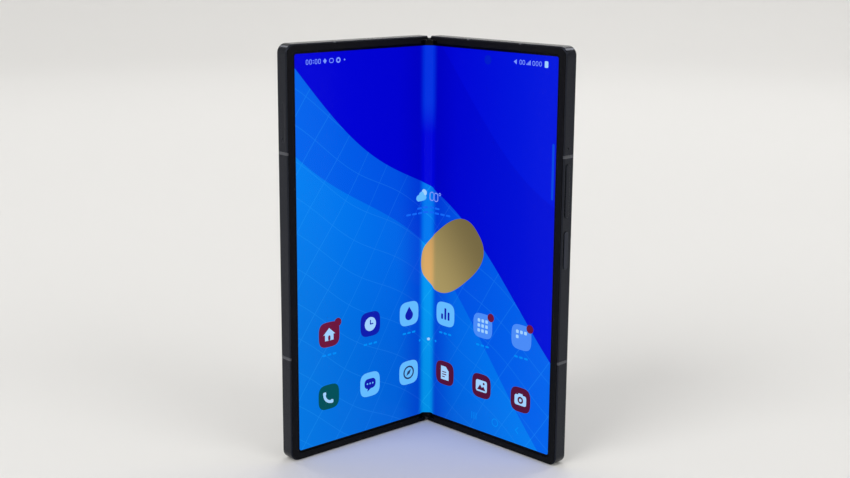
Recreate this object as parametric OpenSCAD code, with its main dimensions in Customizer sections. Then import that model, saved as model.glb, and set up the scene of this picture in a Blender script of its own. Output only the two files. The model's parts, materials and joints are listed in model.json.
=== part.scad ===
// Book-style foldable phone: two thin halves on a geared, free-stop spine hinge.
// Millimetres. X runs left to right, the screens face -Y, Z is up the spine.
// Each half is drawn opened flat, as the right-hand half: X outward from the hinge line,
// Y from the screen surface (0) to the back (body_t). in_half() turns it to the rest angle
// about its own hinge axis, and mirrors it for the left half.

/* [Body] */
// Width of one half, from the hinge line to its outer edge
half_w = 66.3; // [64:0.1:70]
// Height of the phone along the spine
body_h = 153.5; // [150:0.5:165]
// Thickness of one half without the camera island
body_t = 5.6; // [5.5:0.05:6.2]
// Radius of the outer corners, seen from the front
corner_r = 3.4; // [3:0.1:6]
// Rounding of the long edges of the frame
edge_r = 0.5; // [0.3:0.05:0.8]
// Wall of the frame's rails
rail_w = 1.5; // [1.4:0.05:1.7]
// Angle that each half is turned up from flat as the phone stands
fold_rest = 43; // [30:1:60]
// Gap between the ends of the left and right rails at the hinge
rail_gap = 2.0; // [1.9:0.1:3]
// General clearance between parts that don't touch
gap = 0.05; // [0.03:0.01:0.08]

/* [Screen] */
// Thickness of the flexible screen
screen_t = 0.45; // [0.35:0.05:0.5]
// Width of the raised rim round the screen
rim_w = 2.2; // [1.8:0.1:2.8]
// Height of the rim over the screen
rim_h = 0.3; // [0.2:0.05:0.35]
// Half width of the strip that bends
bend_half = 3.8; // [3.4:0.1:4]
// Thickness of the plate that carries the screen
plate_t = 0.45; // [0.4:0.05:0.6]

/* [Hinge] */
// Distance of each hinge axis from the hinge line
axis_x = 0.95; // [0.9:0.01:1]
// Depth of each hinge axis behind the screen surface
axis_y = 0.5; // [0.45:0.01:0.55]
// Thickness of the lip that wraps the spine
lip_t = 0.6; // [0.5:0.05:0.65]
// Running clearance between lip and spine cover
spine_gap = 0.15; // [0.1:0.01:0.2]
// Depth of the spine cover's flat back
spine_y = 3.9; // [3.8:0.05:4]
// Wall of the spine cover
cover_t = 0.4; // [0.35:0.05:0.45]
// Teeth on each timing gear
gear_teeth = 10; // [8:1:12]
// Distance of the outer gear shafts from the hinge line
shaft_x = 3.2; // [3.15:0.01:3.25]
// Depth of the gear shafts behind the screen surface
shaft_y = 1.9; // [1.85:0.01:1.95]
// Radius of the gear shafts
shaft_r = 0.45; // [0.4:0.01:0.5]
// Radial running clearance of shafts and pins
run_gap = 0.03; // [0.02:0.005:0.04]
// Inner radius of the curved guide rails
guide_r = 1.9; // [1.88:0.01:1.95]
// Radial thickness of the curved guide rails
guide_t = 0.7; // [0.6:0.02:0.75]
// Width of each guide rail along the spine
guide_w = 1.9; // [1.6:0.05:2]
// Distance of the hinge units' centres from the phone's two ends
unit_end = 35.5; // [32:0.5:40]
// Depth of the notch over the spine's upper end
top_notch = 0.9; // [0.6:0.1:1.2]
// Distance of the hinge wall's inner face from the hinge line
wall_x1 = 7.35; // [7.3:0.05:7.6]
// Width of the ribbon cable that crosses the hinge
ribbon_w = 14; // [8:0.5:14]
// Thickness of the ribbon cable
ribbon_t = 0.15; // [0.1:0.01:0.2]

/* [Keys and tray] */
// Depth of the key centres behind the screen surface
key_y = 2.3; // [2.2:0.05:2.8]
// Width of the keys across the side
key_w = 2.0; // [1.6:0.05:2.2]
// Height of the keys over the frame
key_proud = 0.35; // [0.2:0.05:0.45]
// Travel of the keys
key_travel = 0.25; // [0.15:0.05:0.25]
// Distance of the power key's upper end from the phone's top
power_drop = 65.3; // [65:0.1:70]
// Length of the power key
power_len = 13.8; // [12:0.1:15]
// Distance of the volume key's upper end from the phone's top
volume_drop = 41.1; // [40.8:0.1:42]
// Length of the volume key
volume_len = 19.2; // [16:0.1:19.5]
// Distance of the card tray's centre from the phone's top
tray_drop = 27.5; // [26:0.1:28.5]
// Length of the card tray's face
tray_len = 14; // [13.5:0.1:14.5]

/* [Cameras and ports] */
// Distance of the camera island from the phone's outer edge
island_edge = 4.65; // [4.4:0.05:5]
// Distance of the camera island's upper end from the phone's top
island_top = 7; // [6.5:0.1:8]
// Width of the camera island
island_w = 16.5; // [16:0.1:17]
// Length of the camera island
island_len = 49; // [48:0.1:50]
// Height of the camera island over the back
island_h = 1.3; // [1:0.05:1.6]
// Spacing of the three lenses
lens_pitch = 15.2; // [15:0.1:15.5]
// Radius of the lens rings
ring_r = 6.2; // [6:0.05:6.4]
// Width of the charging socket
port_w = 8.9; // [8.8:0.05:9]
// Height of the charging socket
port_h = 3.16; // [3.1:0.02:3.2]

/* [Back glass] */
// Thickness of the back glass and of the cover glass
glass_t = 0.55; // [0.4:0.05:0.6]
// Margin of the back glass from the outer edges
glass_margin = 1.0; // [0.9:0.05:1.2]
// Start of the back glass, from the hinge line
glass_x0 = 4; // [3.8:0.1:4.6]
// Chamfer of the glasses' outer edges
glass_chamfer = 0.15; // [0.1:0.01:0.25]

/* [Hidden] */
$fn = 48;

// Radii of the spine, all about the hinge axis of the side they belong to
cavity_r = body_t - lip_t - axis_y;
spine_r = cavity_r - spine_gap;
channel_r = spine_r - cover_t;
channel_y = spine_y - cover_t;
guide_out = guide_r + guide_t;
// Front edge of the spine cover's walls, just behind what crosses them
cover_edge_y = 1.3;
crossing_y0 = 0.62;
crossing_y1 = 1.2;
base_y = 0.62;
cap_len = 2.2;

// Where things start inside the rails
plate_y0 = 0.5;
plate_y1 = plate_y0 + plate_t;
inner_z0 = rail_w;
inner_z1 = body_h - rail_w;
glass_y0 = body_t - glass_t;
ledge_t = 0.6;
ledge_y0 = glass_y0 - 0.05 - ledge_t;
screen_x1 = half_w - rail_w - gap;
spine_z0 = inner_z0 + 0.1;
spine_z1 = inner_z1 - 0.1;

// Rest pose: the phone is centred on the origin from front to back
front_y = axis_y - axis_y * cos(fold_rest) - (half_w - axis_x) * sin(fold_rest);
back_y = axis_y + (body_t - axis_y) * cos(fold_rest) + (axis_x - 0.1) * sin(fold_rest);
centre_y = -(front_y + back_y) / 2;

// Bays of a hinge unit along the spine, measured from the unit's centre
bay_gap = 0.05;
unit_z0 = -16.6;
unit_z1 = 9.6;
guide_left_z = -11.6;
guide_right_z = -8.6;
gear_z = -5.6;
gear_w = 2.1;
arm_z = -2.35;
arm_w = 1.1;
pin_len = 2.2;
spring_z = 0.1;
spring_len = 4.4;
shaft_z0 = -6.4;
shaft_z1 = 5.4;
screw_z = [-14.4, 7.6];
post_r = 1.0;
post_y0 = 2.2;
seat_y = post_y0 - 0.95;
hinge_screw_r = 0.4;
hinge_head_r = 0.8;
hinge_head_h = 0.5;
unit_low_z = unit_end;
unit_top_z = body_h - unit_end;
unit_zs = [unit_low_z, unit_top_z];

// The arms turn about the gear shafts while the halves turn about their own axes, so
// an arm's pin runs along an arc in the half whose radius joins the two centres.
link_dx = shaft_x - axis_x;
link_dy = shaft_y - axis_y;
link_r = sqrt(link_dx * link_dx + link_dy * link_dy);
link_a = atan2(link_dy, link_dx);
pin_dx = 7.6;
pin_dy = -0.35;
pin_r = 0.3;
slot_x = axis_x + pin_dx;
slot_y = axis_y + pin_dy;
slot_over = 2;
gear_pitch = 2 * shaft_x / 3;
tooth_out = gear_pitch / 2 + 0.14;
tooth_in = gear_pitch / 2 - 0.22;
bay_floor_y = shaft_y + tooth_out + gap;

// Keys, tray, island and socket, each held from the phone's top or outer edge
power_z = body_h - power_drop - power_len;
volume_z = body_h - volume_drop - volume_len;
tray_z = body_h - tray_drop;
island_x = half_w - island_edge - island_w / 2;
island_z = body_h - island_top - island_len / 2;
port_x = half_w / 2;
tray_y = 2.7;
tray_w = 2.0;
tray_depth = 13;
// Depth of the tray's face below the frame's outer face
tray_seat = 0.02;

// Battery bay of each half
bay_x0 = 17;
bay_x1 = half_w - 4.3;
bay_z0 = 30;
left_bay_drop = 41.5;
right_bay_drop = 59.1;
left_bay_top = body_h - left_bay_drop;
right_bay_top = body_h - right_bay_drop;
rib_t = 0.8;
rib_y1 = 4;
cell_y0 = plate_y1 + 0.05;
cell_y1 = ledge_y0 - 0.1;
edge_x1 = half_w - rail_w - 0.1;

// Front cameras: the one under the cover glass and the one under the folding screen
cover_cam_x = half_w / 2 + 3.35;
cover_cam_z = body_h - 6.3;
inner_cam_x = half_w / 2 - 3.15;
inner_cam_z = body_h - 7;
camera_half = 2.4;

// Pocket of the earpiece and the cover camera: its walls and its depth below the top
pocket_gap = 0.6;
pocket_drop = 15.5;

// Boards, their shields and their screws: x, z, depth of the board's underside
board_t = 0.7;
upper_board_y0 = 1.4;
upper_board_y1 = upper_board_y0 + board_t;
lower_board_y0 = 2.3;
lower_board_y1 = lower_board_y0 + board_t;
shield_y1 = 3.7;
shield_wall = 0.3;
shield_roof = 0.2;
shield_side = 5;
shield_end = 4;
boss_r = 1.3;
screw_in = 2;
reader_x0 = half_w - tray_depth - 1.9;
left_board_x1 = reader_x0 - 0.4;
left_board_z0 = left_bay_top + 2;
left_board_z1 = body_h - pocket_drop - pocket_gap;
left_board_screws = [for (x = [bay_x0 + screw_in, left_board_x1 - screw_in],
    z = [left_board_z0 + screw_in, left_board_z1 - screw_in]) [x, z, upper_board_y0]];
module_half = ring_r - 0.8;
module_clear = 3.4;
camera_clear = 1.5;
main_x1 = island_x - module_half - module_clear;
main_z0 = right_bay_top + 1.6;
main_z1 = inner_cam_z - camera_half - camera_clear;
lower_board_z0 = 8.2;
lower_board_step = 12.2;
lower_board_z1 = bay_z0 - 3;
right_board_screws = concat([for (x = [bay_x0 + screw_in, main_x1 - screw_in],
    z = [main_z0 + screw_in, main_z1 - screw_in]) [x, z, upper_board_y0]],
    [for (x = [bay_x0 + screw_in, bay_x1 - screw_in]) [x, lower_board_z1 - screw_in, lower_board_y0]]);
screw_r = 0.5;
screw_head_r = 0.95;
screw_head_h = 0.45;

// Ribbon cable: its depth at the hinge wall, where its strap runs, and its lower edge
ribbon_y = plate_y1 + 0.13;
strap_x1 = bay_x0 - 0.4 - rib_t - 0.2;
strap_y0 = upper_board_y1 + 0.02;
strap_y1 = strap_y0 + 0.2;
strap_y = (strap_y0 + strap_y1) / 2;
ribbon_z0 = unit_top_z + unit_z0 - 1.4 - ribbon_w;

// The earpiece in the left half's pocket, and the loudspeaker in the right half
ear_x = cover_cam_x - 7;
ear_half = 4.3;
speaker_x0 = port_x + port_w / 2 + 2.6;
speaker_x1 = bay_x1 - 6.4;
sound_pitch = 1.8;

// ---------- placing and small shapes ----------

module in_half(side) {
    translate([0, centre_y, 0]) mirror([side < 0 ? 1 : 0, 0, 0])
        translate([axis_x, axis_y, 0]) rotate([0, 0, -fold_rest]) translate([-axis_x, -axis_y, 0])
            children();
}

module in_spine() {
    translate([0, centre_y, 0]) children();
}

module on_side(side) {
    mirror([side < 0 ? 1 : 0, 0, 0]) children();
}

module block(x0, x1, y0, y1, z0, z1) {
    translate([x0, y0, z0]) cube([x1 - x0, y1 - y0, z1 - z0]);
}

module disc_x(x0, x1, y, z, r) {
    translate([x0, y, z]) rotate([0, 90, 0]) cylinder(h = x1 - x0, r = r);
}

module disc_y(x, z, y0, y1, r) {
    translate([x, y0, z]) rotate([-90, 0, 0]) cylinder(h = y1 - y0, r = r);
}

module disc_z(x, y, z0, z1, r) {
    translate([x, y, z0]) cylinder(h = z1 - z0, r = r);
}

// A bar with round ends that runs along Z and is drilled or raised along X
module pill_x(x0, x1, y, w, z0, z1) {
    block(x0, x1, y - w / 2, y + w / 2, z0 + w / 2, z1 - w / 2);
    for (z = [z0 + w / 2, z1 - w / 2]) disc_x(x0, x1, y, z, w / 2);
}

// A slot with round ends that runs along X and is cut along Z
module pill_z(x, y, w, h, z0, z1) {
    block(x - w / 2 + h / 2, x + w / 2 - h / 2, y - h / 2, y + h / 2, z0, z1);
    for (s = [-1, 1]) disc_z(x + s * (w - h) / 2, y, z0, z1, h / 2);
}

// A pocket with round ends that runs along Z and is cut along Y
module pill_y(x, z, w, len, y0, y1) {
    block(x - w / 2, x + w / 2, y0, y1, z - (len - w) / 2, z + (len - w) / 2);
    for (s = [-1, 1]) disc_y(x, z + s * (len - w) / 2, y0, y1, w / 2);
}

// A bar with round ends along Z that stands up along Y, with the edge of its top rounded
module soft_bar(w, len, h, edge) {
    for (s = [-1, 1]) translate([0, 0, s * (len - w) / 2]) rotate([-90, 0, 0]) rotate_extrude()
        bar_profile(w / 2, h, edge);
    translate([0, 0, (w - len) / 2]) linear_extrude(len - w) {
        bar_profile(w / 2, h, edge);
        mirror([1, 0]) bar_profile(w / 2, h, edge);
    }
}

module bar_profile(r, h, edge) {
    square([r - edge, h]);
    square([r, h - edge]);
    intersection() {
        translate([r - edge, h - edge]) circle(r = edge);
        square([r, h]);
    }
}

// Plate in the X-Z plane, with its two outer corners rounded
module outer_plate(x0, x1, z0, z1, y0, y1, r) {
    translate([0, y1, 0]) rotate([90, 0, 0]) linear_extrude(y1 - y0) {
        translate([x0, z0]) square([x1 - r - x0, z1 - z0]);
        translate([x0, z0 + r]) square([x1 - x0, z1 - z0 - 2 * r]);
        for (z = [z0 + r, z1 - r]) translate([x1 - r, z]) circle(r = r);
    }
}

// Plate in the X-Z plane with all four corners rounded
module round_plate(x0, x1, z0, z1, y0, y1, r) {
    translate([0, y1, 0]) rotate([90, 0, 0]) linear_extrude(y1 - y0) {
        translate([x0 + r, z0]) square([x1 - x0 - 2 * r, z1 - z0]);
        translate([x0, z0 + r]) square([x1 - x0, z1 - z0 - 2 * r]);
        for (x = [x0 + r, x1 - r], z = [z0 + r, z1 - r]) translate([x, z]) circle(r = r);
    }
}

// Part of the plane between two angles less than 180 degrees apart
module wedge(a0, a1, r) {
    am = (a0 + a1) / 2;
    far = 2 * r;
    polygon([[0, 0], far * [cos(a0), sin(a0)], far * [cos(am), sin(am)], far * [cos(a1), sin(a1)]]);
}

module arc_band(r0, r1, a0, a1) {
    intersection() {
        difference() {
            circle(r = r1);
            circle(r = r0);
        }
        wedge(a0, a1, r1);
    }
}

// ---------- spine ----------

// Cross-section bounded by an arc about each hinge axis, a flat back and a flat front
module spine_shape(r, y_front, y_back) {
    intersection() {
        side_disc(-1, r);
        side_disc(1, r);
        translate([-10, y_front]) square([20, y_back - y_front]);
    }
}

// The disc about one side's hinge axis, with everything on the other side kept
module side_disc(side, r) {
    translate([side * axis_x, axis_y]) circle(r = r, $fn = 96);
    translate([side > 0 ? -12 : 0, -2]) square([12, 12]);
}

module cover_shape() {
    difference() {
        spine_shape(spine_r, cover_edge_y, spine_y);
        spine_shape(channel_r, 0, channel_y);
    }
}

module screw_post(z) {
    disc_y(0, z, post_y0, channel_y + 0.1, post_r);
}

module hinge_cover() {
    color("#2b3040") in_spine() difference() {
        union() {
            translate([0, 0, spine_z0]) linear_extrude(spine_z1 - spine_z0) cover_shape();
            for (u = unit_zs, z = screw_z) screw_post(u + z);
        }
        for (u = unit_zs, z = screw_z) disc_y(0, u + z, 2, channel_y - 0.2, hinge_screw_r + 0.02);
    }
}

// Plug of the spine's end, with a nose that fills the gap between the rails' ends
module spine_cap(z0, z1, nose_z0, nose_z1) {
    nose_half = rail_gap / 2 - 0.15;
    nose_y1 = channel_y - 0.5;
    color("#20242f") in_spine() {
        translate([0, 0, z0]) linear_extrude(z1 - z0)
            spine_shape(channel_r - 0.02, base_y, channel_y - 0.02);
        // a wedge with a round back, so that it stays clear of both rails as they turn
        translate([0, 0, nose_z0]) linear_extrude(nose_z1 - nose_z0) {
            translate([0, nose_y1 - nose_half]) circle(r = nose_half);
            translate([-nose_half, base_y]) square([2 * nose_half, nose_y1 - nose_half - base_y]);
        }
    }
}

module spine_cap_top() spine_cap(spine_z1 - cap_len, spine_z1, spine_z1 - 1, body_h - top_notch);
module spine_cap_bottom() spine_cap(spine_z0, spine_z0 + cap_len, 0.15, spine_z0 + 1);

// Room in the base for one side's guide rail and for the tongue that carries it
module guide_bay(side, z) {
    on_side(side) translate([0, 0, z]) linear_extrude(guide_w + 2 * bay_gap) {
        translate([axis_x, axis_y]) arc_band(guide_r - gap, guide_out + gap, -20, 75);
        translate([axis_x, axis_y]) arc_band(guide_r - gap, guide_out + gap, 65, 146);
        translate([axis_x + guide_r - gap, 0]) square([4, 1.95]);
    }
}

module hinge_base(u) {
    color("#6d7078") in_spine() translate([0, 0, u]) difference() {
        translate([0, 0, unit_z0]) linear_extrude(unit_z1 - unit_z0)
            spine_shape(channel_r - 0.02, base_y, channel_y - 0.02);
        guide_bay(-1, guide_left_z);
        guide_bay(1, guide_right_z);
        // gear bay, arm bay and spring bays are open to the front and to both sides
        block(-6, 6, 0, bay_floor_y, gear_z - bay_gap, gear_z + gear_w + bay_gap);
        block(-6, 6, 0, bay_floor_y, arm_z - bay_gap, arm_z + arm_w + bay_gap);
        for (s = [-1, 1]) {
            block(s * 4 - 2.4, s * 4 + 2.4, 0, bay_floor_y, spring_z - bay_gap,
                spring_z + spring_len + bay_gap);
            disc_z(s * shaft_x, shaft_y, shaft_z0 - bay_gap, shaft_z1 + bay_gap, shaft_r + run_gap);
            disc_z(s * shaft_x / 3, shaft_y, gear_z - 0.7, gear_z + gear_w + 0.7, pin_r);
        }
        for (z = screw_z) {
            disc_y(0, z, post_y0 - gap, 4, post_r + gap);
            disc_y(0, z, seat_y - gap, 3, hinge_screw_r + gap);
            disc_y(0, z, 0, seat_y, hinge_head_r + gap);
        }
    }
}

module hinge_base_upper() hinge_base(unit_top_z);
module hinge_base_lower() hinge_base(unit_low_z);

module idler_pins() {
    color("#b9bcc2") in_spine() for (u = unit_zs, s = [-1, 1])
        disc_z(s * shaft_x / 3, shaft_y, u + gear_z - 0.7, u + gear_z + gear_w + 0.7, pin_r);
}

module hinge_screws() {
    color("#8e9198") in_spine() for (u = unit_zs, z = screw_z) {
        disc_y(0, u + z, seat_y - hinge_head_h, seat_y, hinge_head_r);
        disc_y(0, u + z, seat_y, channel_y - 0.4, hinge_screw_r);
    }
}

// Stack of dished washers that gives the fold its grip
module friction_springs() {
    washers = 8;
    pitch = spring_len / washers;
    color("#9aa0a8") in_spine() for (u = unit_zs, s = [-1, 1])
        translate([s * shaft_x, shaft_y, u + spring_z]) rotate_extrude()
            polygon(concat([[shaft_r + run_gap, spring_len], [shaft_r + run_gap, 0]],
                [for (i = [0 : 2 * washers]) [i % 2 == 0 ? 0.8 : 1.05, i * pitch / 2]]));
}

// ---------- timing gears and arms ----------

// One gear, its teeth cut so that neighbours a pitch apart turn without touching
module gear(turn, bore) {
    step = 360 / gear_teeth;
    difference() {
        linear_extrude(gear_w) union() {
            circle(r = tooth_in, $fn = 40);
            for (i = [0 : gear_teeth - 1]) rotate(turn + i * step)
                polygon([[tooth_in - 0.2, -0.26], [tooth_in, -0.22], [gear_pitch / 2, -0.145],
                    [tooth_out, -0.065], [tooth_out, 0.065], [gear_pitch / 2, 0.145],
                    [tooth_in, 0.22], [tooth_in - 0.2, 0.26]]);
        }
        translate([0, 0, -1]) cylinder(h = gear_w + 2, r = bore);
    }
}

// Teeth of one gear point at the spaces of the next, whichever tooth count is set
function gear_turn(i) = i % 2 == 0 ? 0 : (gear_teeth % 2 == 0 ? 180 / gear_teeth : 0);

module gear_at(i, bore) {
    x = -shaft_x + i * gear_pitch;
    color("#c2a25a") in_spine() for (u = unit_zs)
        translate([x, shaft_y, u + gear_z]) gear(gear_turn(i), bore);
}

module sync_gears_left() gear_at(0, shaft_r);
module idler_gears_left() gear_at(1, pin_r + run_gap);
module idler_gears_right() gear_at(2, pin_r + run_gap);
module sync_gears_right() gear_at(3, shaft_r);

// Shaft, crank plate and drive pin, drawn opened flat and turned about the shaft
module sync_arm(side, u) {
    end = [shaft_x + pin_dx, shaft_y + pin_dy];
    color("#a4a8ae") in_spine() on_side(side)
        translate([shaft_x, shaft_y, u]) rotate([0, 0, -fold_rest]) translate([-shaft_x, -shaft_y, 0]) {
            disc_z(shaft_x, shaft_y, shaft_z0, shaft_z1, shaft_r);
            translate([0, 0, arm_z]) linear_extrude(arm_w) {
                translate([shaft_x, shaft_y]) circle(r = 0.85);
                translate(end) circle(r = 0.65);
                polygon([[shaft_x - 0.6, shaft_y - 0.6], [4.5, crossing_y0], [6.3, crossing_y0],
                    end + [0.2, -0.6], end + [-0.1, 0.62], [6.6, crossing_y1 + 0.15],
                    [5.6, crossing_y1 - 0.04], [4.6, crossing_y1 - 0.04], [shaft_x + 0.6, shaft_y + 0.55]]);
            }
            disc_z(end[0], end[1], arm_z, arm_z + arm_w + pin_len, pin_r);
        }
}

module sync_arm_left_upper() sync_arm(-1, unit_top_z);
module sync_arm_left_lower() sync_arm(-1, unit_low_z);
module sync_arm_right_upper() sync_arm(1, unit_top_z);
module sync_arm_right_lower() sync_arm(1, unit_low_z);

// ---------- bracket that joins a half to its hinge unit ----------

flange_y0 = plate_y1 + 0.05;
flange_y1 = flange_y0 + 0.6;
flange_x1 = 15.4;
slot_z0 = arm_z + arm_w + 0.1;
slot_z1 = slot_z0 + 2.1;
slot_plate_x0 = 6.4;
slot_plate_x1 = slot_x + link_r * cos(link_a) + pin_r + 0.8;
bracket_screw_x = 13.6;
bracket_screw_z = [-9.5, 4.6];
arm_slit_z0 = arm_z - 0.15;
arm_slit_z1 = arm_z + arm_w + 0.1;

// Arc slot: the path of the arm's pin, a little longer at both ends
module pin_slot() {
    r_slot = pin_r + run_gap;
    a0 = link_a - slot_over;
    a1 = link_a + 90 + slot_over;
    translate([slot_x, slot_y]) {
        arc_band(link_r - r_slot, link_r + r_slot, a0, a1);
        for (a = [a0, a1]) translate(link_r * [cos(a), sin(a)]) circle(r = r_slot);
    }
}

module guide_rail(side) {
    z = side < 0 ? guide_left_z : guide_right_z;
    tongue_a = 28;
    tip = [axis_x, axis_y] + guide_r * [cos(tongue_a), sin(tongue_a)];
    back = [axis_x, axis_y] + guide_out * [cos(tongue_a), sin(tongue_a)];
    translate([0, 0, z + bay_gap]) linear_extrude(guide_w) {
        translate([axis_x, axis_y]) arc_band(guide_r, guide_out, tongue_a - 1, 140);
        polygon([tip, [3.9, crossing_y0], [wall_x1 + 0.1, crossing_y0], [wall_x1 + 0.4, flange_y0],
            [8, flange_y0], [8, flange_y1], [6, crossing_y1], [4.4, crossing_y1], back]);
    }
}

module hinge_bracket(side, u) {
    color("#7c8088") in_half(side) translate([0, 0, u]) difference() {
        union() {
            guide_rail(side);
            block(slot_plate_x0 + 0.8, flange_x1, flange_y0, flange_y1, -12.6, 6.6);
            block(slot_plate_x0, slot_plate_x1, flange_y0, slot_y + link_r + 0.9, slot_z0, slot_z1);
        }
        translate([0, 0, slot_z0 - 0.5]) linear_extrude(slot_z1 - slot_z0 + 1) pin_slot();
        block(0, slot_plate_x1 + 0.3, 0, body_t, arm_slit_z0, arm_slit_z1);
        for (z = bracket_screw_z) disc_y(bracket_screw_x, z, 0, 3, screw_r);
    }
}

module left_bracket_upper() hinge_bracket(-1, unit_top_z);
module left_bracket_lower() hinge_bracket(-1, unit_low_z);
module right_bracket_upper() hinge_bracket(1, unit_top_z);
module right_bracket_lower() hinge_bracket(1, unit_low_z);

// One screw from its tip to the face that its head rests on
module screw(x, z, y_tip, y_seat) {
    disc_y(x, z, y_tip, y_seat, screw_r);
    disc_y(x, z, y_seat, y_seat + screw_head_h, screw_head_r);
}

// The screws of the two brackets and of the boards
module half_screws(side, board_screws) {
    color("#8e9198") in_half(side) {
        for (u = unit_zs, z = bracket_screw_z) screw(bracket_screw_x, u + z, plate_y0 + 0.02, flange_y1);
        for (p = board_screws) screw(p[0], p[1], plate_y0 + 0.25, p[2] + board_t);
    }
}

module left_screws() half_screws(-1, left_board_screws);
module right_screws() half_screws(1, right_board_screws);

// ---------- frames ----------

// Rail cross-section: x from the outer face inward, y from front to back
module rail_shape() {
    step_x = glass_margin;
    r = edge_r;
    difference() {
        union() {
            translate([r, 0]) square([rail_w - r, body_t]);
            translate([0, r]) square([rail_w, body_t - 2 * r]);
            for (y = [r, body_t - r]) translate([r, y]) circle(r = r);
            translate([0.5, ledge_y0]) square([rail_w + 0.5, ledge_t]);
        }
        translate([step_x, ledge_y0 + ledge_t]) square([rail_w, body_t]);
    }
}

module end_rail() {
    x1 = half_w - corner_r;
    x0 = rail_gap / 2;
    translate([x1, 0, 0]) rotate([0, -90, 0]) linear_extrude(x1 - x0) rail_shape();
}

module outer_corner() {
    translate([half_w - corner_r, 0, corner_r]) rotate([-90, 0, 0]) rotate_extrude(angle = 90)
        translate([corner_r, 0]) mirror([1, 0]) rail_shape();
}

module rails() {
    for (top = [0, 1]) translate([0, 0, top * body_h]) mirror([0, 0, top]) {
        end_rail();
        outer_corner();
    }
    translate([half_w, 0, corner_r]) mirror([1, 0, 0]) linear_extrude(body_h - 2 * corner_r) rail_shape();
}

// Strip along the hinge: a wall hollowed round the spine, with the lip behind it and the glass's seat
module hinge_strip() {
    z0 = rail_w / 2;
    difference() {
        union() {
            block(0.1, wall_x1, plate_y0, body_t, inner_z0, inner_z1);
            block(rail_gap / 2, wall_x1, plate_y0, body_t, z0, body_h - z0);
        }
        block(glass_x0 - gap, wall_x1 + 0.1, ledge_y0 + ledge_t, body_t + 1,
            glass_margin, body_h - glass_margin);
    }
    block(wall_x1 - 0.1, wall_x1 + 1.2, ledge_y0, ledge_y0 + ledge_t, z0, body_h - z0);
}

// Room for the spine, which the half turns round
module spine_room() {
    disc_z(axis_x, axis_y, inner_z0, inner_z1, cavity_r, $fn = 96);
    block(0, axis_x + 2.6, 0, body_t - lip_t, inner_z0, inner_z1);
}

// Opening through the hinge wall and the plate, where a bracket sits and the arm swings
module unit_window(u) {
    block(2, wall_x1 + 0.6, 0, 4.2, u - 13, u + 7);
    block(2, slot_plate_x1 + 0.3, 0, plate_y1 + 0.02, u + arm_slit_z0, u + arm_slit_z1);
    for (z = bracket_screw_z) disc_y(bracket_screw_x, u + z, 0, 3, screw_r);
}

// Slit in the hinge wall that the ribbon cable passes through, close behind the plate
module ribbon_slit() {
    block(2, wall_x1 + 0.6, plate_y1, ribbon_y + 0.5, ribbon_z0 - 0.4, ribbon_z0 + ribbon_w + 0.4);
}

module half_frame(bay_top, board_screws) {
    difference() {
        union() {
            rails();
            outer_plate(wall_x1 - 1, half_w - 1, 0.5, body_h - 0.5, plate_y0, plate_y1, corner_r - 0.5);
            hinge_strip();
            // ribs of the battery bay
            for (z = [bay_z0 - 0.2 - rib_t, bay_top + 0.2])
                block(bay_x0 - 1, edge_x1 + 0.5, plate_y0, rib_y1, z, z + rib_t);
            block(bay_x0 - 0.4 - rib_t, bay_x0 - 0.4, plate_y0, rib_y1, bay_z0 - 0.2 - rib_t,
                bay_top + 0.2 + rib_t);
            for (p = board_screws) disc_y(p[0], p[1], plate_y0, p[2], boss_r);
        }
        spine_room();
        ribbon_slit();
        for (u = unit_zs) unit_window(u);
        for (p = board_screws) disc_y(p[0], p[1], plate_y0 + 0.2, body_t, screw_r);
    }
}

band_w = 1.0;
band_depth = 0.7;
band_zs = [39.5, body_h - 38.5];
outer_band_x = half_w - 21.3;

// Volumes of the plastic bands that split the metal frame
module band_cuts(top_xs) {
    for (z = band_zs) block(half_w - band_depth, half_w + 1, -1, body_t + 1, z - band_w / 2, z + band_w / 2);
    for (x = top_xs) block(x - band_w / 2, x + band_w / 2, -1, body_t + 1, body_h - band_depth, body_h + 1);
}

module antenna_bands(side, top_xs) {
    color("#3c4254") in_half(side) intersection() {
        rails();
        band_cuts(top_xs);
    }
}

left_top_bands = [outer_band_x];
right_top_bands = [bay_x0 + 3, outer_band_x];

module left_antenna_bands() antenna_bands(-1, left_top_bands);
module right_antenna_bands() antenna_bands(1, right_top_bands);

// A centred row of round sound holes through an end rail
hole_y = key_y + 0.3;
mic_r = 0.4;
module sound_holes(x, count, r, z0, z1) {
    for (i = [0 : count - 1]) disc_z(x + (i - (count - 1) / 2) * sound_pitch, hole_y, z0, z1, r);
}

module left_frame() {
    color("#30364a") in_half(-1) difference() {
        union() {
            half_frame(left_bay_top, left_board_screws);
            // pocket walls of the earpiece and the cover camera
            for (x = [ear_x - ear_half - 2 * pocket_gap, cover_cam_x + camera_half + 2.5])
                block(x, x + pocket_gap, plate_y0, 3.6, body_h - pocket_drop, inner_z1 + 0.2);
        }
        band_cuts(left_top_bands);
        pill_x(half_w - 0.9, half_w + 1, tray_y, tray_w + 2 * gap, tray_z - tray_len / 2 - gap,
            tray_z + tray_len / 2 + gap);
        tray_slot(half_w - rail_w - 2);
        sound_holes(ear_x, 5, 0.45, inner_z1 - 1, body_h + 1);
    }
}

// Room for the tray's blade, from x0 to the outer face
module tray_slot(x0) {
    half = tray_len / 2 - 0.9;
    block(x0, half_w, tray_y - 0.6, tray_y + 0.6, tray_z - half, tray_z + half);
}

module key_cut(z0, len) {
    pill_x(half_w - rail_w - 1, half_w + 1, key_y, key_w + 2 * gap, z0 - gap, z0 + len + gap);
    block(half_w - rail_w - 2.6, half_w - 0.7, key_y - key_w / 2 - 0.5, key_y + key_w / 2 + 0.5,
        z0 - 0.8, z0 + len + 0.8);
}

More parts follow.
